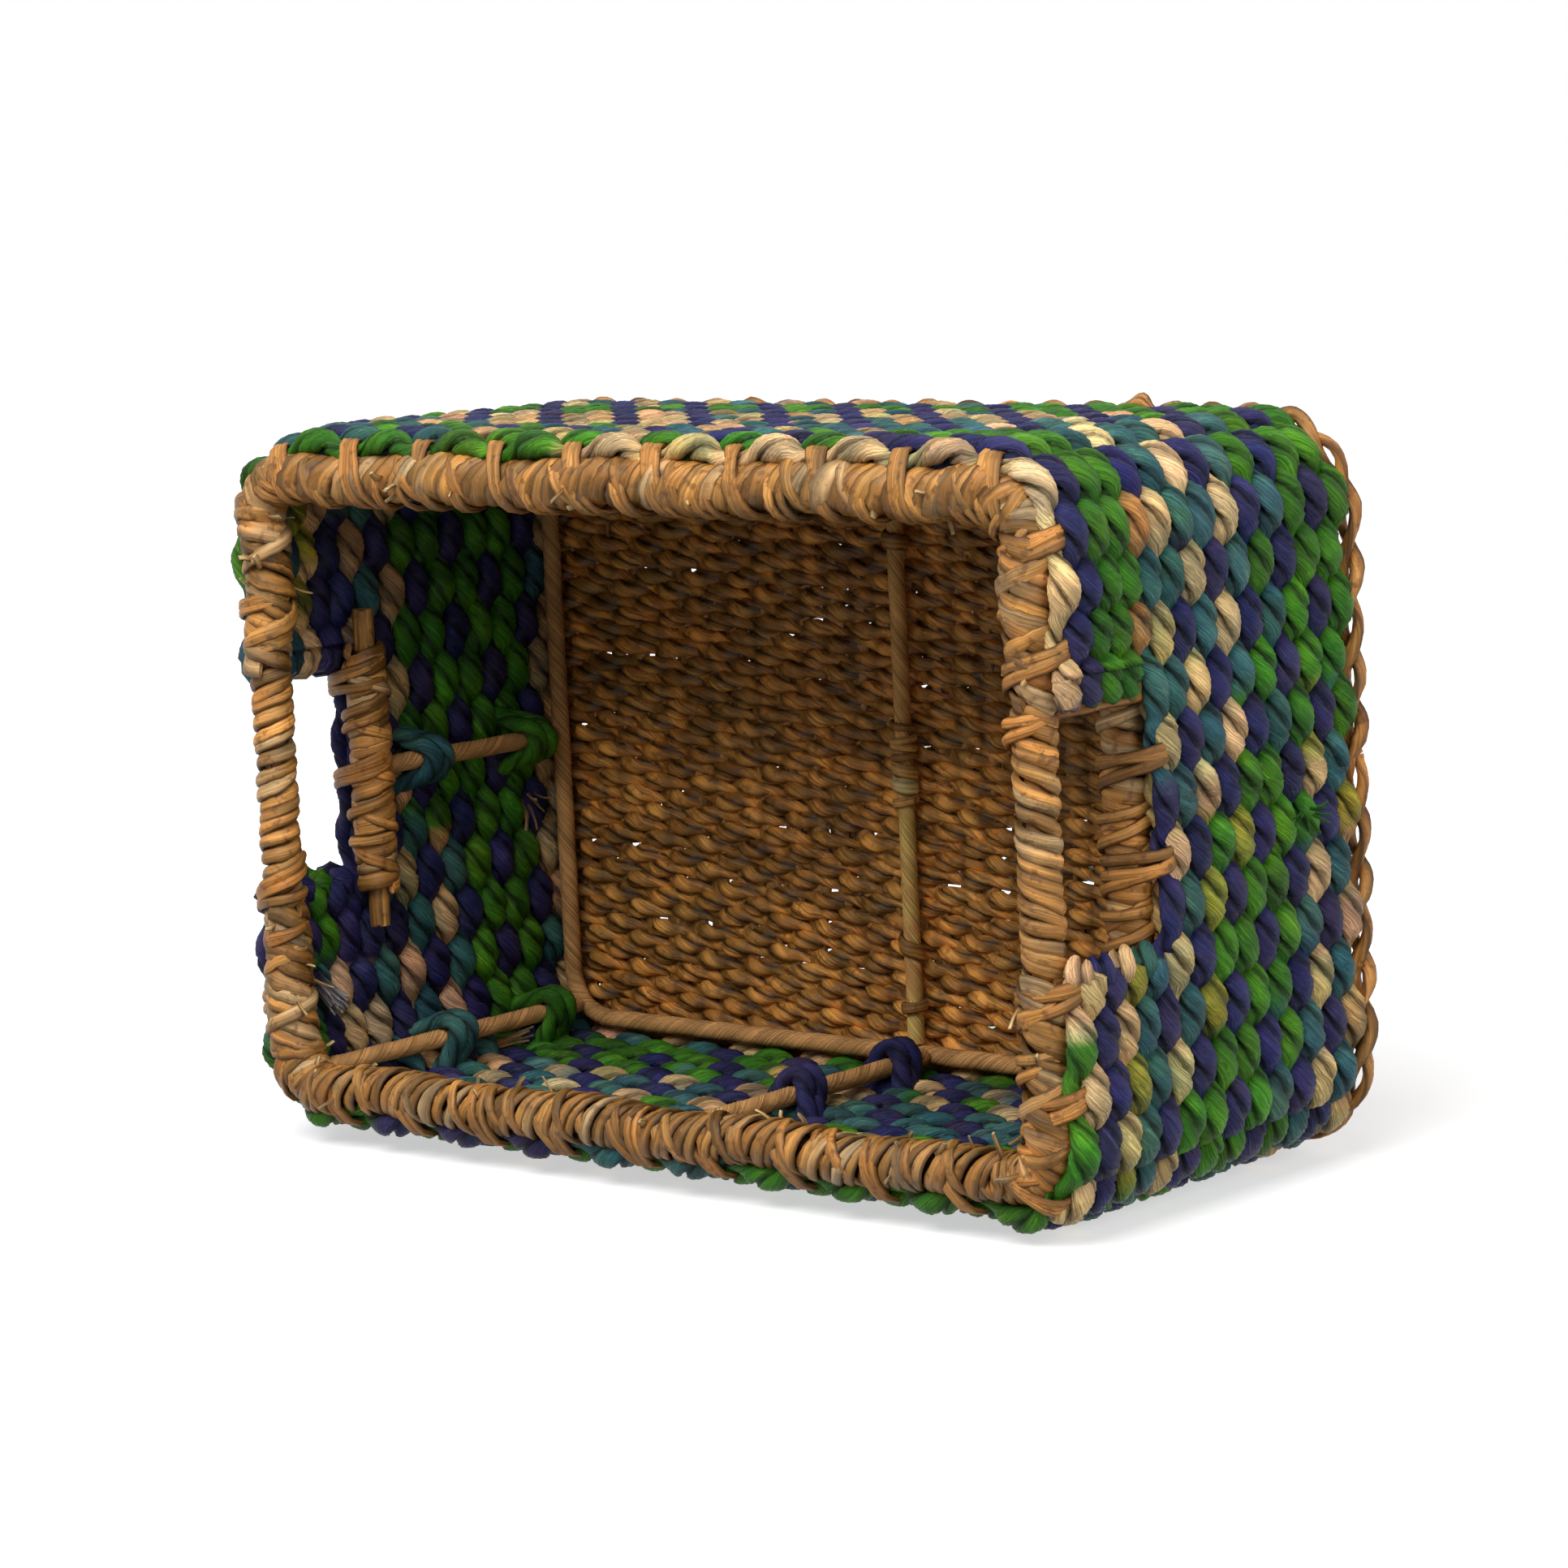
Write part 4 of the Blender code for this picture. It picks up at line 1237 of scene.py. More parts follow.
@dataclass(frozen=True)
class Stakes(Assembly):
    """Upright leaf stakes inside the wall, bent over the rim rod and the sill bars."""

    half_width: float = 0.0029
    half_thick: float = 0.0012
    spread: float = 0.0017
    fan: float = 0.0006
    gather: float = 0.22
    bend_lean: float = 0.0017
    press: float = 0.0038
    press_height: float = 0.164
    bend_points: int = 9
    bar_strips: int = 6
    sizes: StrandSizes = StrandSizes(Section.LEAF, 0.004, 8, unevenness=0.22, patch=0.010)

    def levels(self, stake: int) -> list[tuple[float, float]]:
        """Give the offsets outside the frame and the heights that a stake passes.

        Args:
            stake: Number of the stake.

        Returns:
            Pairs of offset and height, from the foot up.
        """
        centre = self.path.wall_offset / MILLIMETRE
        opening = self.path.from_openings(stake) < 2.2
        body = ((1, 8.5), (8, 7), (12.4, 10.5), (centre, 20), (centre, 55), (centre, 90))
        if opening and stake % 2:
            top = ((13.4, 118), (15.6, 124), (18.8, 129.5), (18.6, 134.5), (14.5, 139), (7, 141.9),
                   (0, 142.6), (-6, 140.4), (-8.4, 135.5), (-7.5, 130))
        elif opening:
            top = ((12.6, 118), (9.5, 126), (9.3, 134), (7, 140), (1, 143.2), (-6, 141.2), (-9, 136),
                   (-7.8, 130))
        elif stake % 2:
            top = ((centre, 150), (13.0, 168), (13.2, 175), (14.6, 180.5), (16.2, 185), (15.2, 189),
                   (11.5, 191.8), (5.5, 194.2), (-1, 195.2), (-6.4, 193.4), (-9.8, 189.0), (-9.8, 183.5),
                   (-7.3, 180))
        else:
            top = ((centre, 150), (11.8, 172), (7.4, 182), (6.6, 188), (3, 193.8), (-3, 195.4), (-8, 193),
                   (-10.4, 188), (-9, 182))
        return [(offset * MILLIMETRE, height * MILLIMETRE) for offset, height in body + top]

    def strip(self, stake: int, half: int, chance: random.Random) -> Line:
        """Guide line of one leaf strip of a stake.

        Args:
            stake: Number of the stake.
            half: Side of the stake on which the strip lies: -1, 0 or 1.
            chance: Source of the random draws.

        Returns:
            The line.
        """
        tone = tuple(leaf_tone(Dye.STAKE_LEAF, chance, 0.35))
        lean = chance.uniform(-0.0006, 0.0006)
        bend = self.bend_lean * chance.uniform(0.3, 1.5)
        levels = self.levels(stake)
        corners = []
        for number, (offset, height) in enumerate(levels):
            if height > self.press_height:
                offset -= self.press * self.path.pressed(stake) * held(offset / 0.012)
            place, outward = self.path.at(stake, offset, height)
            bent = max(0, number + self.bend_points - len(levels))
            wide = self.spread + self.fan * min(bent / 6, 1.0)
            corners.append(place + left_of(outward) * (half * wide + lean * height / 0.1 - bend * bent))
        line = smooth_line(corners)
        onward = left_of(self.path.at(stake, 0.0, 0.1)[1])
        points = []
        for index, (place, ahead) in enumerate(zip(line, ways(line))):
            width = self.half_width * (1 - self.gather * held((index - len(line) + 36) / 20))
            points.append(StrandPoint(place, onward.cross(ahead).normalized(), self.half_thick, width, tone,
                                      half * 0.2))
        return points

    def bar_strip(self, turn: int, low: Vector, high: Vector, chance: random.Random) -> Line:
        """Guide line of one strip along a sill bar.

        Args:
            turn: Number of the strip round the bar.
            low: Lower corner of the bar's box.
            high: Upper corner of the bar's box.
            chance: Source of the random draws.

        Returns:
            The line.
        """
        centre = (low + high) / 2
        radial = Vector((math.cos(turn * 1.05), 0, math.sin(turn * 1.05)))
        tone = tuple(leaf_tone(Dye.RIM_LEAF, chance, 0.3))
        reach = (high.y - low.y) / 2 - chance.uniform(0.0, 0.003)
        places = [Vector((centre.x, centre.y - reach + 2 * reach * index / 24, centre.z))
                  for index in range(25)]
        return [StrandPoint(place + radial * 0.0026, radial, 0.0019, 0.0030, tone) for place in places]

    def build(self) -> None:
        """Stand all the stakes, and lay leaf along the sill bars."""
        chance = random.Random(5)
        lines = [self.strip(stake, half, chance) for stake in range(self.path.stake_count)
                 for half in ((-1, 1, 0) if stake % 2 else (-1, 1))]
        self.workshop.weave("upright_stakes", lines, self.sizes, self.finish, "rim_leaf")
        for side_name in ("left", "right"):
            node = f"sill_bar_{side_name}"
            lines = [self.bar_strip(turn, *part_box(node), chance) for turn in range(self.bar_strips)]
            self.workshop.weave(f"sill_bar_leaf_{side_name}", lines, self.sizes, self.finish,
                                "rim_leaf", node)


@dataclass(frozen=True)
class WovenFloor(Assembly):
    """The floor panel: flat two-ply leaf cords woven over cross strands."""

    row_pitch: float = 0.0064
    strand_pitch: float = 0.0134
    strand_wander: float = 0.0016
    swing: float = 0.0020
    half_thick: float = 0.0038
    half_tall: float = 0.0042
    lay: float = -0.044
    point_step: float = 0.003
    strand_step: float = 0.006
    cords: StrandSizes = StrandSizes(Section.PLIES, 0.0022, 12, groove=0.70, waist=0.80, unevenness=0.24)
    strands: StrandSizes = StrandSizes(Section.LEAF, 0.003, 6, unevenness=0.25, patch=0.006)

    def reach(self, across: float, half: tuple[float, float]) -> float:
        """Half length of a row at a distance from the middle of a panel of given half sizes.

        Args:
            across: Distance of the row from the middle.
            half: Half sizes of the panel, along the row first.

        Returns:
            The half length.
        """
        radius = self.path.corner_radius + self.path.rod_radius
        into = abs(across) - (half[1] - radius)
        if into <= 0:
            return half[0]
        return half[0] - radius + math.sqrt(max(radius ** 2 - into ** 2, 0.0))

    def build(self) -> None:
        """Weave the floor."""
        low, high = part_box("woven_floor")
        half = (high.x + 0.003, high.y + 0.002)
        height = (low.z + high.z) / 2
        chance = random.Random(19)
        lines = []
        rows = round(2 * half[1] / self.row_pitch)
        for row in range(rows):
            across = -half[1] + (row + 0.5) * 2 * half[1] / rows
            reach = self.reach(across, half)
            steps = round(2 * reach / self.point_step)
            twist = chance.uniform(0, FULL_TURN)
            tones = [leaf_tone(Dye.FLOOR_LEAF, chance, 0.45) for _ in range(30)]
            bend = chance.uniform(-0.0010, 0.0010)
            bend_start = chance.uniform(0, FULL_TURN)
            lay = self.lay * chance.uniform(0.85, 1.15)
            line = []
            for index in range(steps + 1):
                x = -reach + 2 * reach * index / steps
                place = Vector((x, across + bend * math.sin(x * 26 + bend_start), height))
                stake = x / self.strand_pitch + row
                tone = tone_at(tones, (x + half[0]) / (2 * half[0]))
                # Painted shade: each cord is darker where it dips under a cross strand.
                tone = tone * (0.30 + 0.76 * abs(math.cos(math.pi * stake)) ** 0.7)
                line.append(StrandPoint(place, UP, self.half_thick, self.half_tall, tuple(tone),
                                        twist + FULL_TURN * x / lay, self.swing, stake))
            lines.append(line)
        self.workshop.weave("floor_cords", lines, self.cords, self.finish, "floor_leaf", "woven_floor")
        lines = []
        columns = round(2 * half[0] / self.strand_pitch)
        tone = tuple(Vector(Dye.FLOOR_LEAF.value) * 0.5)
        for column in range(columns):
            x = -half[0] + (column + 0.5) * 2 * half[0] / columns
            reach = self.reach(x, half[::-1])
            width = chance.uniform(0.0050, 0.0064)
            start = chance.uniform(0, FULL_TURN)
            line = []
            for index in range(round(2 * reach / self.strand_step) + 1):
                y = -reach + index * self.strand_step
                drift = self.strand_wander * math.sin(y * 48 + start)
                spread = 1 + 0.2 * math.sin(y * 83 + start * 2)
                line.append(StrandPoint(Vector((x + drift, y, height)), UP, 0.0014, width * spread, tone))
            lines.append(line)
        self.workshop.weave("floor_cross_strands", lines, self.strands, self.finish, "floor_leaf")


@dataclass(frozen=True)
class FootEdging(Assembly):
    """The braid under the wall that the basket stands on."""

    rise: float = 0.0023
    sway: float = 0.0034
    half_thick: float = 0.0021
    half_tall: float = 0.0030
    binding_offset: float = 0.0092
    binding_height: float = 0.0078
    binding_half: tuple[float, float] = (0.0036, 0.0030)
    sizes: StrandSizes = StrandSizes(Section.LEAF, 0.0024, 10, unevenness=0.16, patch=0.010, caps=False)

    def build(self) -> None:
        """Braid the edging from two strands, and bind it to the wall."""
        low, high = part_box("foot_edging")
        height = (low.z + high.z) / 2 + 0.0004
        offset = high.x - self.path.half_sizes(height)[0] - 0.0064
        chance = random.Random(31)
        count = self.path.stake_count
        steps = count * 5
        lines = []
        for strand in (0, 1):
            tones = [leaf_tone(Dye.EDGING_LEAF, chance, 0.35) for _ in range(34)]
            tones[-1] = tones[0]
            line = []
            for index in range(steps + 1):
                stake = count * index / steps
                slack = 0.4 * math.sin(stake * 0.7) if index < steps else 0.0
                angle = math.pi * stake + math.pi * strand + slack
                place, outward = self.path.at(stake, offset + self.sway * math.sin(angle),
                                              height + self.rise * math.cos(angle))
                tone = tuple(tone_at(tones, stake / count))
                line.append(StrandPoint(place, outward, self.half_thick, self.half_tall, tone,
                                        FULL_TURN * stake / 3))
            lines.append(line)
        lines.append(self.path.ring(steps, self.binding_offset, self.binding_height, self.binding_half,
                                    tuple(Vector(Dye.EDGING_LEAF.value) * 0.7)))
        self.workshop.weave("foot_braid", lines, self.sizes, self.finish, "rim_leaf", "foot_edging")


def rod_ends(node: str, radius: float) -> tuple[Vector, Vector]:
    """Find the middle of both ends of an upright rod from its box.

    Args:
        node: CAD node of the rod.
        radius: Radius of the rod.

    Returns:
        The lower and the upper end.
    """
    low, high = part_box(node)
    lower = Vector((0, 0, low.z))
    upper = Vector((0, 0, high.z))
    for axis in (0, 1):
        near, far = sorted((low[axis], high[axis]), key=abs)
        if high[axis] - low[axis] < 2 * radius + 0.0005:
            lower[axis] = upper[axis] = (low[axis] + high[axis]) / 2
        else:
            sign = math.copysign(1, near + far)
            lower[axis] = near + sign * radius
            upper[axis] = far - sign * radius
    return lower, upper


@dataclass(frozen=True)
class FrameRods(Assembly):
    """The frame's rods: wire wound slantwise with brown paper."""

    # Paper painted lighter for the crossbar, which lies in the back wall's shadow.
    bar_finish: bpy.types.Material
    paper_lay: float = 0.030
    step: float = 0.006
    slimness: float = 0.85
    bar_share: float = 0.92
    bar_steps: int = 40
    ring_turns: int = 48
    sizes: StrandSizes = StrandSizes(Section.PAPER, 0.0025, 16, groove=0.07, unevenness=0.02, patch=0.03)

    def rod_line(self, corners: Sequence[Vector], side: Vector, start: float, share: float = 1.0) -> Line:
        """Guide line of a rod.

        Args:
            corners: Points along the rod.
            side: A direction across the rod.
            start: Turn of the paper at its start.
            share: Thickness beside the other rods.

        Returns:
            The line.
        """
        radius = self.path.rod_radius * self.slimness * share
        return [StrandPoint(place, side, radius, radius, Dye.PAPER.value,
                            start + FULL_TURN * run / self.paper_lay)
                for place, run in zip(corners, runs_along(corners))]

    def build(self) -> None:
        """Wind every rod that shows."""
        for node in frame["nodes"]:
            if "upright" not in node or node.startswith("lashing"):
                continue
            lower, upper = rod_ends(node, self.path.rod_radius)
            count = max(2, round((upper - lower).length / self.step))
            corners = [lower.lerp(upper, index / count) for index in range(count + 1)]
            line = self.rod_line(corners, Vector((0.6, 0.8, 0)), 1.0)
            self.workshop.weave(f"{node}_paper", [line], self.sizes, self.finish, "rod_paper", node)
        low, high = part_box("base_crossbar")
        centre = (low + high) / 2
        corners = [Vector((centre.x, low.y + (high.y - low.y) * index / self.bar_steps, centre.z))
                   for index in range(self.bar_steps + 1)]
        line = self.rod_line(corners, UP, 0.0, self.bar_share)
        self.workshop.weave("base_crossbar_paper", [line], self.sizes, self.bar_finish, "rod_paper",
                            "base_crossbar")
        radius = self.path.rod_radius * self.slimness
        line = self.path.ring(self.path.stake_count * 3, 0.0, self.path.ring_height, (radius, radius),
                              Dye.PAPER.value, self.ring_turns)
        self.workshop.weave("base_ring_paper", [line], replace(self.sizes, caps=False), self.finish,
                            "rod_paper", "base_ring_rod")


@dataclass(frozen=True)
class Lashings(Assembly):
    """Dyed cords that tie the frame's uprights to the wall, and the crossbar's leaf tie."""

    leaf: bpy.types.Material
    half_ply: float = 0.0039
    lay: float = 0.030
    sizes: StrandSizes = StrandSizes(Section.PLIES, 0.0018, 14, groove=0.42, unevenness=0.10, patch=0.010)
    tie: tuple[tuple[float, float, float, Dye], ...] = (
        (2.0, 2.4, 1.6, Dye.STAKE_LEAF), (-1.8, -2.6, 1.5, Dye.TIE_LEAF), (-6.4, 2.4, 1.7, Dye.TIE_LEAF),
        (-9.0, -1.6, 1.6, Dye.STAKE_LEAF), (-17.0, 5.0, 3.0, Dye.TIE_LEAF), (-22.5, 3.0, 3.6, Dye.TIE_PALE),
        (-27.0, -3.0, 1.8, Dye.TIE_LEAF))
    straps: tuple[tuple[float, float, float, Dye], ...] = (
        (78.0, 3.0, 3.4, Dye.STAKE_LEAF), (-92.0, 7.0, 3.6, Dye.STAKE_LEAF),
        (-113.0, -2.0, 2.6, Dye.STAKE_LEAF))

    def loop(self, centre: Vector, outward: Vector, rise: Vector, drop: float, width: float,
             dye: Dye, turn: float) -> Line:
        """Guide line of one pass of cord over a rod.

        Args:
            centre: Middle of the rod at the lashing.
            outward: Direction to the wall.
            rise: Direction up the rod.
            drop: Height of the pass below the lashing's middle.
            width: Half the width between its ends in the wall.
            dye: Colour.
            turn: Turn of the plies at the start.

        Returns:
            The line.
        """
        across = rise.cross(outward)
        shape = ((-width, 11, 8), (-width + 3, 5, 5), (-7.4, 0, 2), (-5.6, -5, 0), (0, -8, -1.2),
                 (5.6, -5, 0), (7.4, 0, 2), (width - 3, 5, 5), (width, 11, 8))
        line = smooth_line([centre + (across * x + outward * out + rise * (up - drop)) * MILLIMETRE
                            for x, out, up in shape])
        return [StrandPoint(place, rise.cross(ahead).normalized(), self.half_ply, self.half_ply * 1.25,
                            dye.value, turn + FULL_TURN * run / self.lay)
                for place, ahead, run in zip(line, ways(line), runs_along(line))]

    @staticmethod
    def strap(middle: Vector, shift: float, lean: float, width: float, dye: Dye) -> Line:
        """Guide line of a leaf strip over the crossbar.

        Args:
            middle: Middle of the tie on the crossbar.
            shift: Distance behind the middle, in millimetres.
            lean: Distance that the strip moves on along the bar, in millimetres.
            width: Half width, in millimetres.
            dye: Colour.

        Returns:
            The line.
        """
        line = []
        for index in range(17):
            angle = math.pi * (-0.12 + 1.24 * index / 16)
            radial = Vector((math.cos(angle), 0, math.sin(angle)))
            place = middle + Vector((0, (shift + lean * index / 16) * MILLIMETRE, 0)) + radial * 0.0050
            line.append(StrandPoint(place, radial, 0.0010, width * MILLIMETRE, dye.value))
        return line

    @staticmethod
    def wall_way(rod: str, centre: Vector) -> Vector:
        """Level direction from a rod to its wall, or to both walls of a corner.

        Args:
            rod: CAD node of the rod.
            centre: A point of the rod.

        Returns:
            The direction.
        """
        x = 0.0 if rod.startswith("long") else math.copysign(1, centre.x)
        y = 0.0 if rod.startswith("sill") else math.copysign(1, centre.y)
        return Vector((x, y, 0)).normalized()

    def build(self) -> None:
        """Tie every lashing, and the crossbar."""
        for number, (node, slot) in enumerate(sorted(node_slots().items())):
            if not node.startswith("lashing"):
                continue
            rod = node.split("_", 2)[2]
            lower, upper = rod_ends(rod, self.path.rod_radius)
            low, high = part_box(node)
            rise = (upper - lower).normalized()
            centre = lower + rise * (((low.z + high.z) / 2 - lower.z) / rise.z)
            outward = self.wall_way(rod, centre)
            outward = (outward - rise * outward.dot(rise)).normalized()
            dye = Dye[slot.removesuffix("_cord").upper()]
            lines = [self.loop(centre, outward, rise, -2.0, 13.0, dye, number * 1.1),
                     self.loop(centre, outward, rise, 4.6, 12.0, dye, number * 1.7 + 2)]
            self.workshop.weave(f"{node}_cord", lines, self.sizes, self.finish, slot, node)
        low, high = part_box("crossbar_tie")
        bar_low, bar_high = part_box("base_crossbar")
        centre = (low + high) / 2
        middle = Vector((centre.x, centre.y, (bar_low.z + bar_high.z) / 2))
        for name, strips, replaced in (("crossbar_tie_leaf", self.tie, ["crossbar_tie"]),
                                       ("crossbar_straps", self.straps, [])):
            lines = [self.strap(middle, *strip) for strip in strips]
            self.workshop.weave(name, lines, LEAF_SIZES, self.leaf, "rim_leaf", *replaced)


@dataclass(frozen=True)
class Tuft:
    """Loose fibres or leaf ends that start at one place."""

    root: Vector
    way: Vector
    length: float
    count: int
    spread: float
    half_width: float
    base: Dye
    tip: Dye
    root_spread: float = 0.0

    def strands(self, chance: random.Random) -> list[Line]:
        """Guide lines of the tuft's strands."""
        return [self.strand(chance) for _ in range(self.count)]

    def strand(self, chance: random.Random) -> Line:
        """Guide line of one loose strand.

        Args:
            chance: Source of the random draws.

        Returns:
            The line.
        """
        drift = Vector([chance.uniform(-1, 1) for _ in range(3)]) * self.spread
        curl = Vector([chance.uniform(-1, 1) for _ in range(3)]) * self.spread * 0.5
        length = self.length * chance.uniform(0.7, 1.1)
        root = self.root + drift * (self.root_spread / self.spread)
        side = self.way.cross(Vector((0.3, 0.2, 0.93))).normalized()
        line = []
        for index in range(7):
            share = index / 6
            place = root + (self.way + drift * share) * length * share + curl * length * share * share
            tone = Vector(self.base.value).lerp(Vector(self.tip.value), share ** 1.5)
            size = self.half_width * (1 - 0.45 * share)
            line.append(StrandPoint(place, side, size * 0.4, size, tuple(tone), drift.x * 2))
        return line


@dataclass(frozen=True)
class LooseEnds(Assembly):
    """Cut leaf ends along the rim and frayed cord ends inside the walls."""

    cord: bpy.types.Material
    wraps: Wraps
    rim_ends: int = 96
    grip_half: float = 0.056
    leaf_tufts: tuple[Tuft, ...] = (
        Tuft(Vector((-0.205, -0.027, 0.032)), Vector((0.4, -0.7, -0.3)), 0.011, 10, 0.4, 0.0016,
             Dye.STAKE_LEAF, Dye.NATURAL, 0.0030),
        Tuft(Vector((-0.197, -0.130, 0.071)), Vector((0.55, 0.2, -0.8)), 0.019, 12, 0.16, 0.0018,
             Dye.STAKE_LEAF, Dye.NATURAL, 0.0030))
    cord_tufts: tuple[Tuft, ...] = (
        Tuft(Vector((-0.203, -0.083, 0.169)), Vector((0.3, -0.75, -0.55)), 0.018, 60, 0.10, 0.0017,
             Dye.NAVY, Dye.FRAYED, 0.0020),
        Tuft(Vector((0.2180, -0.006, 0.046)), Vector((0.5, -0.2, 0.3)), 0.006, 14, 0.9, 0.0008,
             Dye.GREEN, Dye.GREEN, 0.0030))

    def rim_lines(self, chance: random.Random) -> list[Line]:
        """Guide lines of the cut ends along the rim, apart from the grips.

        Args:
            chance: Source of the random draws.

        Returns:
            The lines.
        """
        lines = []
        for _ in range(self.rim_ends):
            stake = chance.uniform(0, self.path.stake_count)
            angle = chance.choice((chance.uniform(-2.6, -1.6), chance.uniform(1.2, 3.4)))
            spot = self.wraps.rim_spot(stake)
            if abs(spot.centre.y) < self.grip_half:
                continue
            radial = spot.outward * math.cos(angle) + spot.upward * math.sin(angle)
            onward = left_of(spot.outward) * chance.uniform(-0.9, 0.9)
            tuft = Tuft(spot.centre + radial * 0.0084, (radial * 0.8 + onward).normalized(),
                        chance.uniform(0.004, 0.010), 1, 0.35, chance.uniform(0.0012, 0.0028),
                        Dye.RIM_LEAF, Dye.CREAM)
            lines += tuft.strands(chance)
        return lines

    def build(self) -> None:
        """Add the loose ends."""
        chance = random.Random(77)
        lines = self.rim_lines(chance)
        lines += [line for tuft in self.leaf_tufts for line in tuft.strands(chance)]
        for lean in (0.0, 0.003, -0.002):
            corners = [Vector((0.115 + x * MILLIMETRE, 0.136 + y * MILLIMETRE, 0.006 + lean))
                       for x, y in ((-13, 1), (-7, 7), (0, 9 - lean * 900), (4, 6), (9, 1))]
            tone = tuple(leaf_tone(Dye.EDGING_LEAF, chance))
            lines.append([StrandPoint(place, Vector((0, 0.4, 1)), 0.0007, 0.0022, tone)
                          for place in smooth_line(corners)])
        sizes = StrandSizes(Section.LEAF, 0.0015, 8, unevenness=0.2, patch=0.006)
        self.workshop.weave("loose_leaf_ends", lines, sizes, self.finish, "rim_leaf")
        lines = [line for tuft in self.cord_tufts for line in tuft.strands(chance)]
        sizes = replace(sizes, sides=6, unevenness=0.1)
        self.workshop.weave("frayed_cord_ends", lines, sizes, self.cord, "navy_cord")


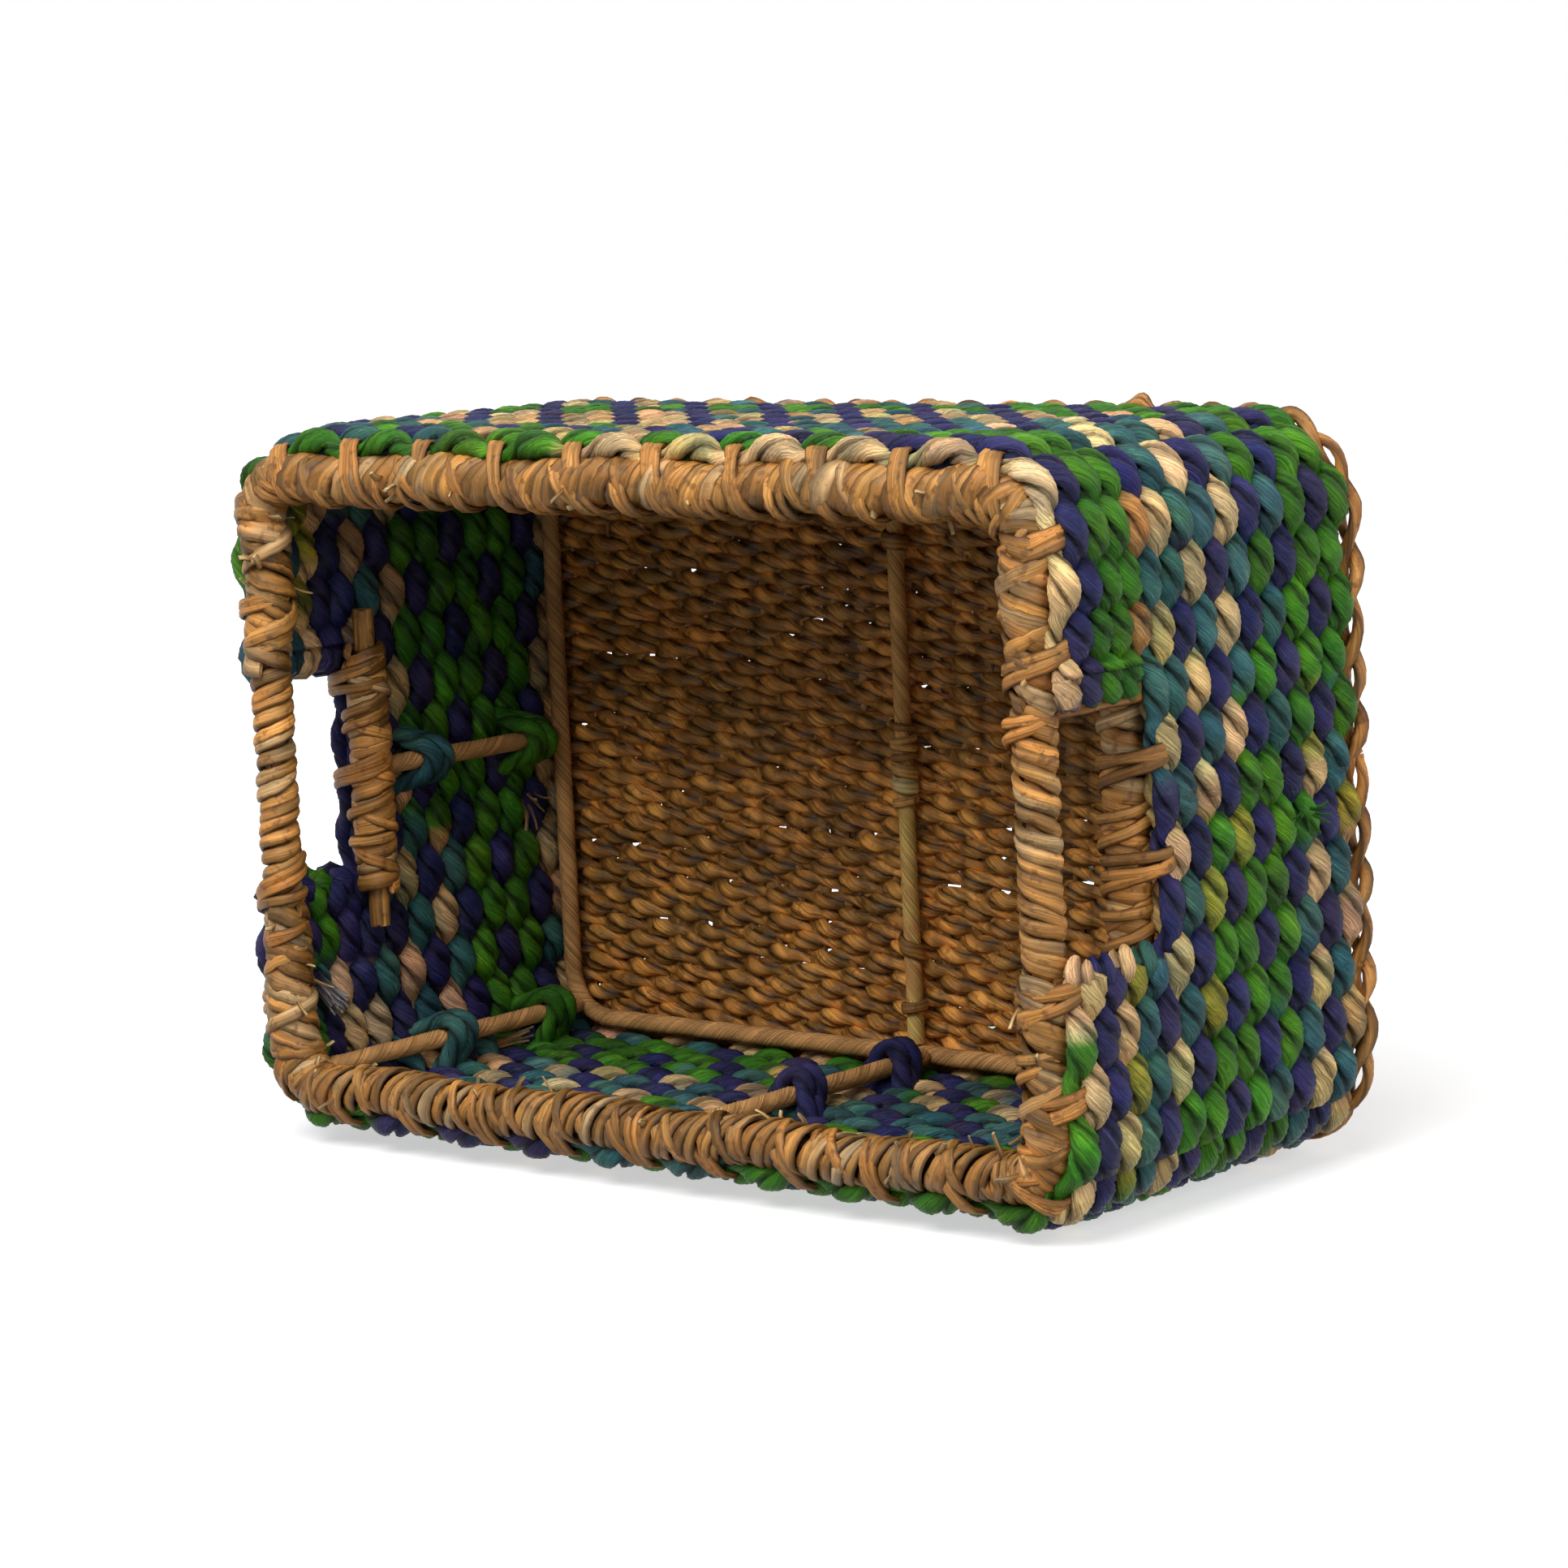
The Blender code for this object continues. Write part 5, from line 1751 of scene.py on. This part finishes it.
@dataclass(frozen=True)
class Studio:
    """Pale floor, soft lamps and the camera."""

    image_size: float = 1932.0
    focal_pixels: float = 6271.56
    camera_place: tuple[float, float, float] = (1.3272, 0.2771, 1.6046)
    camera_right: tuple[float, float, float] = (0.7540, -0.0462, -0.6552)
    camera_up: tuple[float, float, float] = (-0.0554, 0.9895, -0.1335)
    camera_back: tuple[float, float, float] = (0.6545, 0.1370, 0.7436)
    floor_gap: float = 0.001
    floor_reach: float = 6.0
    sensor: float = 36.0
    lamps: tuple[tuple[str, Colour, float, float], ...] = (("key", (0.30, 1.80, 1.45), 1.9, 60.0),
                                                           ("fill", (2.1, 0.7, 0.45), 1.2, 17.0))

    @staticmethod
    def hang(name: str, data: bpy.types.ID) -> bpy.types.Object:
        """Put a new object in the scene.

        Args:
            name: Name of the object.
            data: What it shows.

        Returns:
            The object.
        """
        made = bpy.data.objects.new(name, data)
        bpy.context.scene.collection.objects.link(made)
        return made

    def build_camera(self) -> None:
        """Set up the camera at the photograph's angle."""
        data = bpy.data.cameras.new("photo_camera")
        data.sensor_width = self.sensor
        data.lens = self.sensor * self.focal_pixels / self.image_size
        data.clip_start = 0.05
        data.clip_end = 50
        camera = self.hang("photo_camera", data)
        axes = Matrix((self.camera_right, self.camera_up, self.camera_back)).transposed()
        camera.matrix_world = Matrix.Translation(self.camera_place) @ axes.to_4x4()
        bpy.context.scene.camera = camera

    def build_floor(self) -> None:
        """Lay the pale floor just outside the wall that the basket lies on."""
        low = cad_box[0][1] - self.floor_gap
        reach = self.floor_reach
        mesh = bpy.data.meshes.new("studio_floor")
        corners = [(-reach, low, -reach), (-reach, low, reach), (reach, low, reach), (reach, low, -reach)]
        mesh.from_pydata(corners, [], [(0, 1, 2, 3)])
        graph = SurfaceGraph("studio_floor")
        behind = graph.add("ShaderNodeNewGeometry", output="Backfacing")
        pale = graph.add("ShaderNodeBsdfPrincipled", None,
                         {"Base Color": (0.9, 0.9, 0.9, 1), "Roughness": 0.9, "Specular IOR Level": 0.0})
        glow = graph.add("ShaderNodeEmission", None, {"Color": (1, 1, 1, 1), "Strength": 2.86})
        away = graph.add("ShaderNodeVectorMath", {"operation": "LENGTH"}, {0: graph.place}, "Value")
        share = graph.ramp(away, 0.30, 1.10, 0.19, 0.30)
        floor = graph.add("ShaderNodeMixShader", None, {0: share, 1: pale, 2: glow})
        clear = graph.add("ShaderNodeBsdfTransparent")
        shown = graph.seen() * (1 - behind)
        surface = graph.add("ShaderNodeMixShader", None, {0: shown, 1: clear, 2: floor})
        graph.add("ShaderNodeOutputMaterial", None, {"Surface": surface})
        mesh.materials.append(graph.material)
        self.hang("studio_floor", mesh)

    def build_lights(self) -> None:
        """Light the basket softly from above and from the camera's side."""
        world = bpy.data.worlds.new("studio")
        bpy.context.scene.world = world
        world.use_nodes = True
        graph = Graph(world.node_tree)
        soft, white = (graph.add("ShaderNodeBackground", None, {"Color": (1, 1, 1, 1), "Strength": strength})
                       for strength in (0.27, 1.0))
        surface = graph.add("ShaderNodeMixShader", None, {0: graph.seen(), 1: soft, 2: white})
        graph.add("ShaderNodeOutputWorld", None, {"Surface": surface})
        for name, place, size, power in self.lamps:
            data = bpy.data.lights.new(name, "AREA")
            data.shape = "SQUARE"
            data.size = size
            data.energy = power
            lamp = self.hang(name, data)
            lamp.location = place
            lamp.rotation_euler = (Vector((0, 0, 0.1)) - Vector(place)).to_track_quat("-Z", "Y").to_euler()

    def build(self) -> None:
        """Set up the whole studio."""
        self.build_camera()
        self.build_floor()
        self.build_lights()


def main() -> None:
    """Build the basket's pieces in order, then the studio."""
    bpy.context.scene.view_settings.view_transform = "Standard"
    workshop = Workshop()
    path = WallPath()
    cord = FibreFinish("twisted_cord", 0.42, 8.0, 0.50, 0.7, 0.9, valley_shade=0.85, shine=0.2,
                       warm_share=0.8).material()
    leaf = FibreFinish("leaf_strip", 0.42, 2.4, 0.34, 0.45, 0.6, edge_shade=0.9, blotch_share=0.6,
                       shine=0.25, warm_share=0.12).material()
    floor_leaf = FibreFinish("floor_leaf", 0.40, 3.4, 0.42, 0.6, 0.7, valley_shade=0.98,
                             blotch_share=0.5, shine=0.3, warm_share=0.15).material()
    paper = PaperFinish().material()
    bar_paper_painted_lighter = PaperFinish("crossbar_paper", Dye.BAR_PAPER, (0.86, 1.10, 0.95)).material()
    wraps = Wraps(path, workshop, leaf)
    for assembly in (WallCords(path, workshop, cord), Stakes(path, workshop, leaf),
                     WovenFloor(path, workshop, floor_leaf), FootEdging(path, workshop, leaf), wraps,
                     FrameRods(path, workshop, paper, bar_paper_painted_lighter), Lashings(path, workshop, cord, leaf),
                     LooseEnds(path, workshop, leaf, cord, wraps)):
        assembly.build()
    for node in frame["nodes"].values():
        node.data.materials.clear()
        node.data.materials.append(paper)
    Studio().build()


if __name__ == "__main__":
    main()
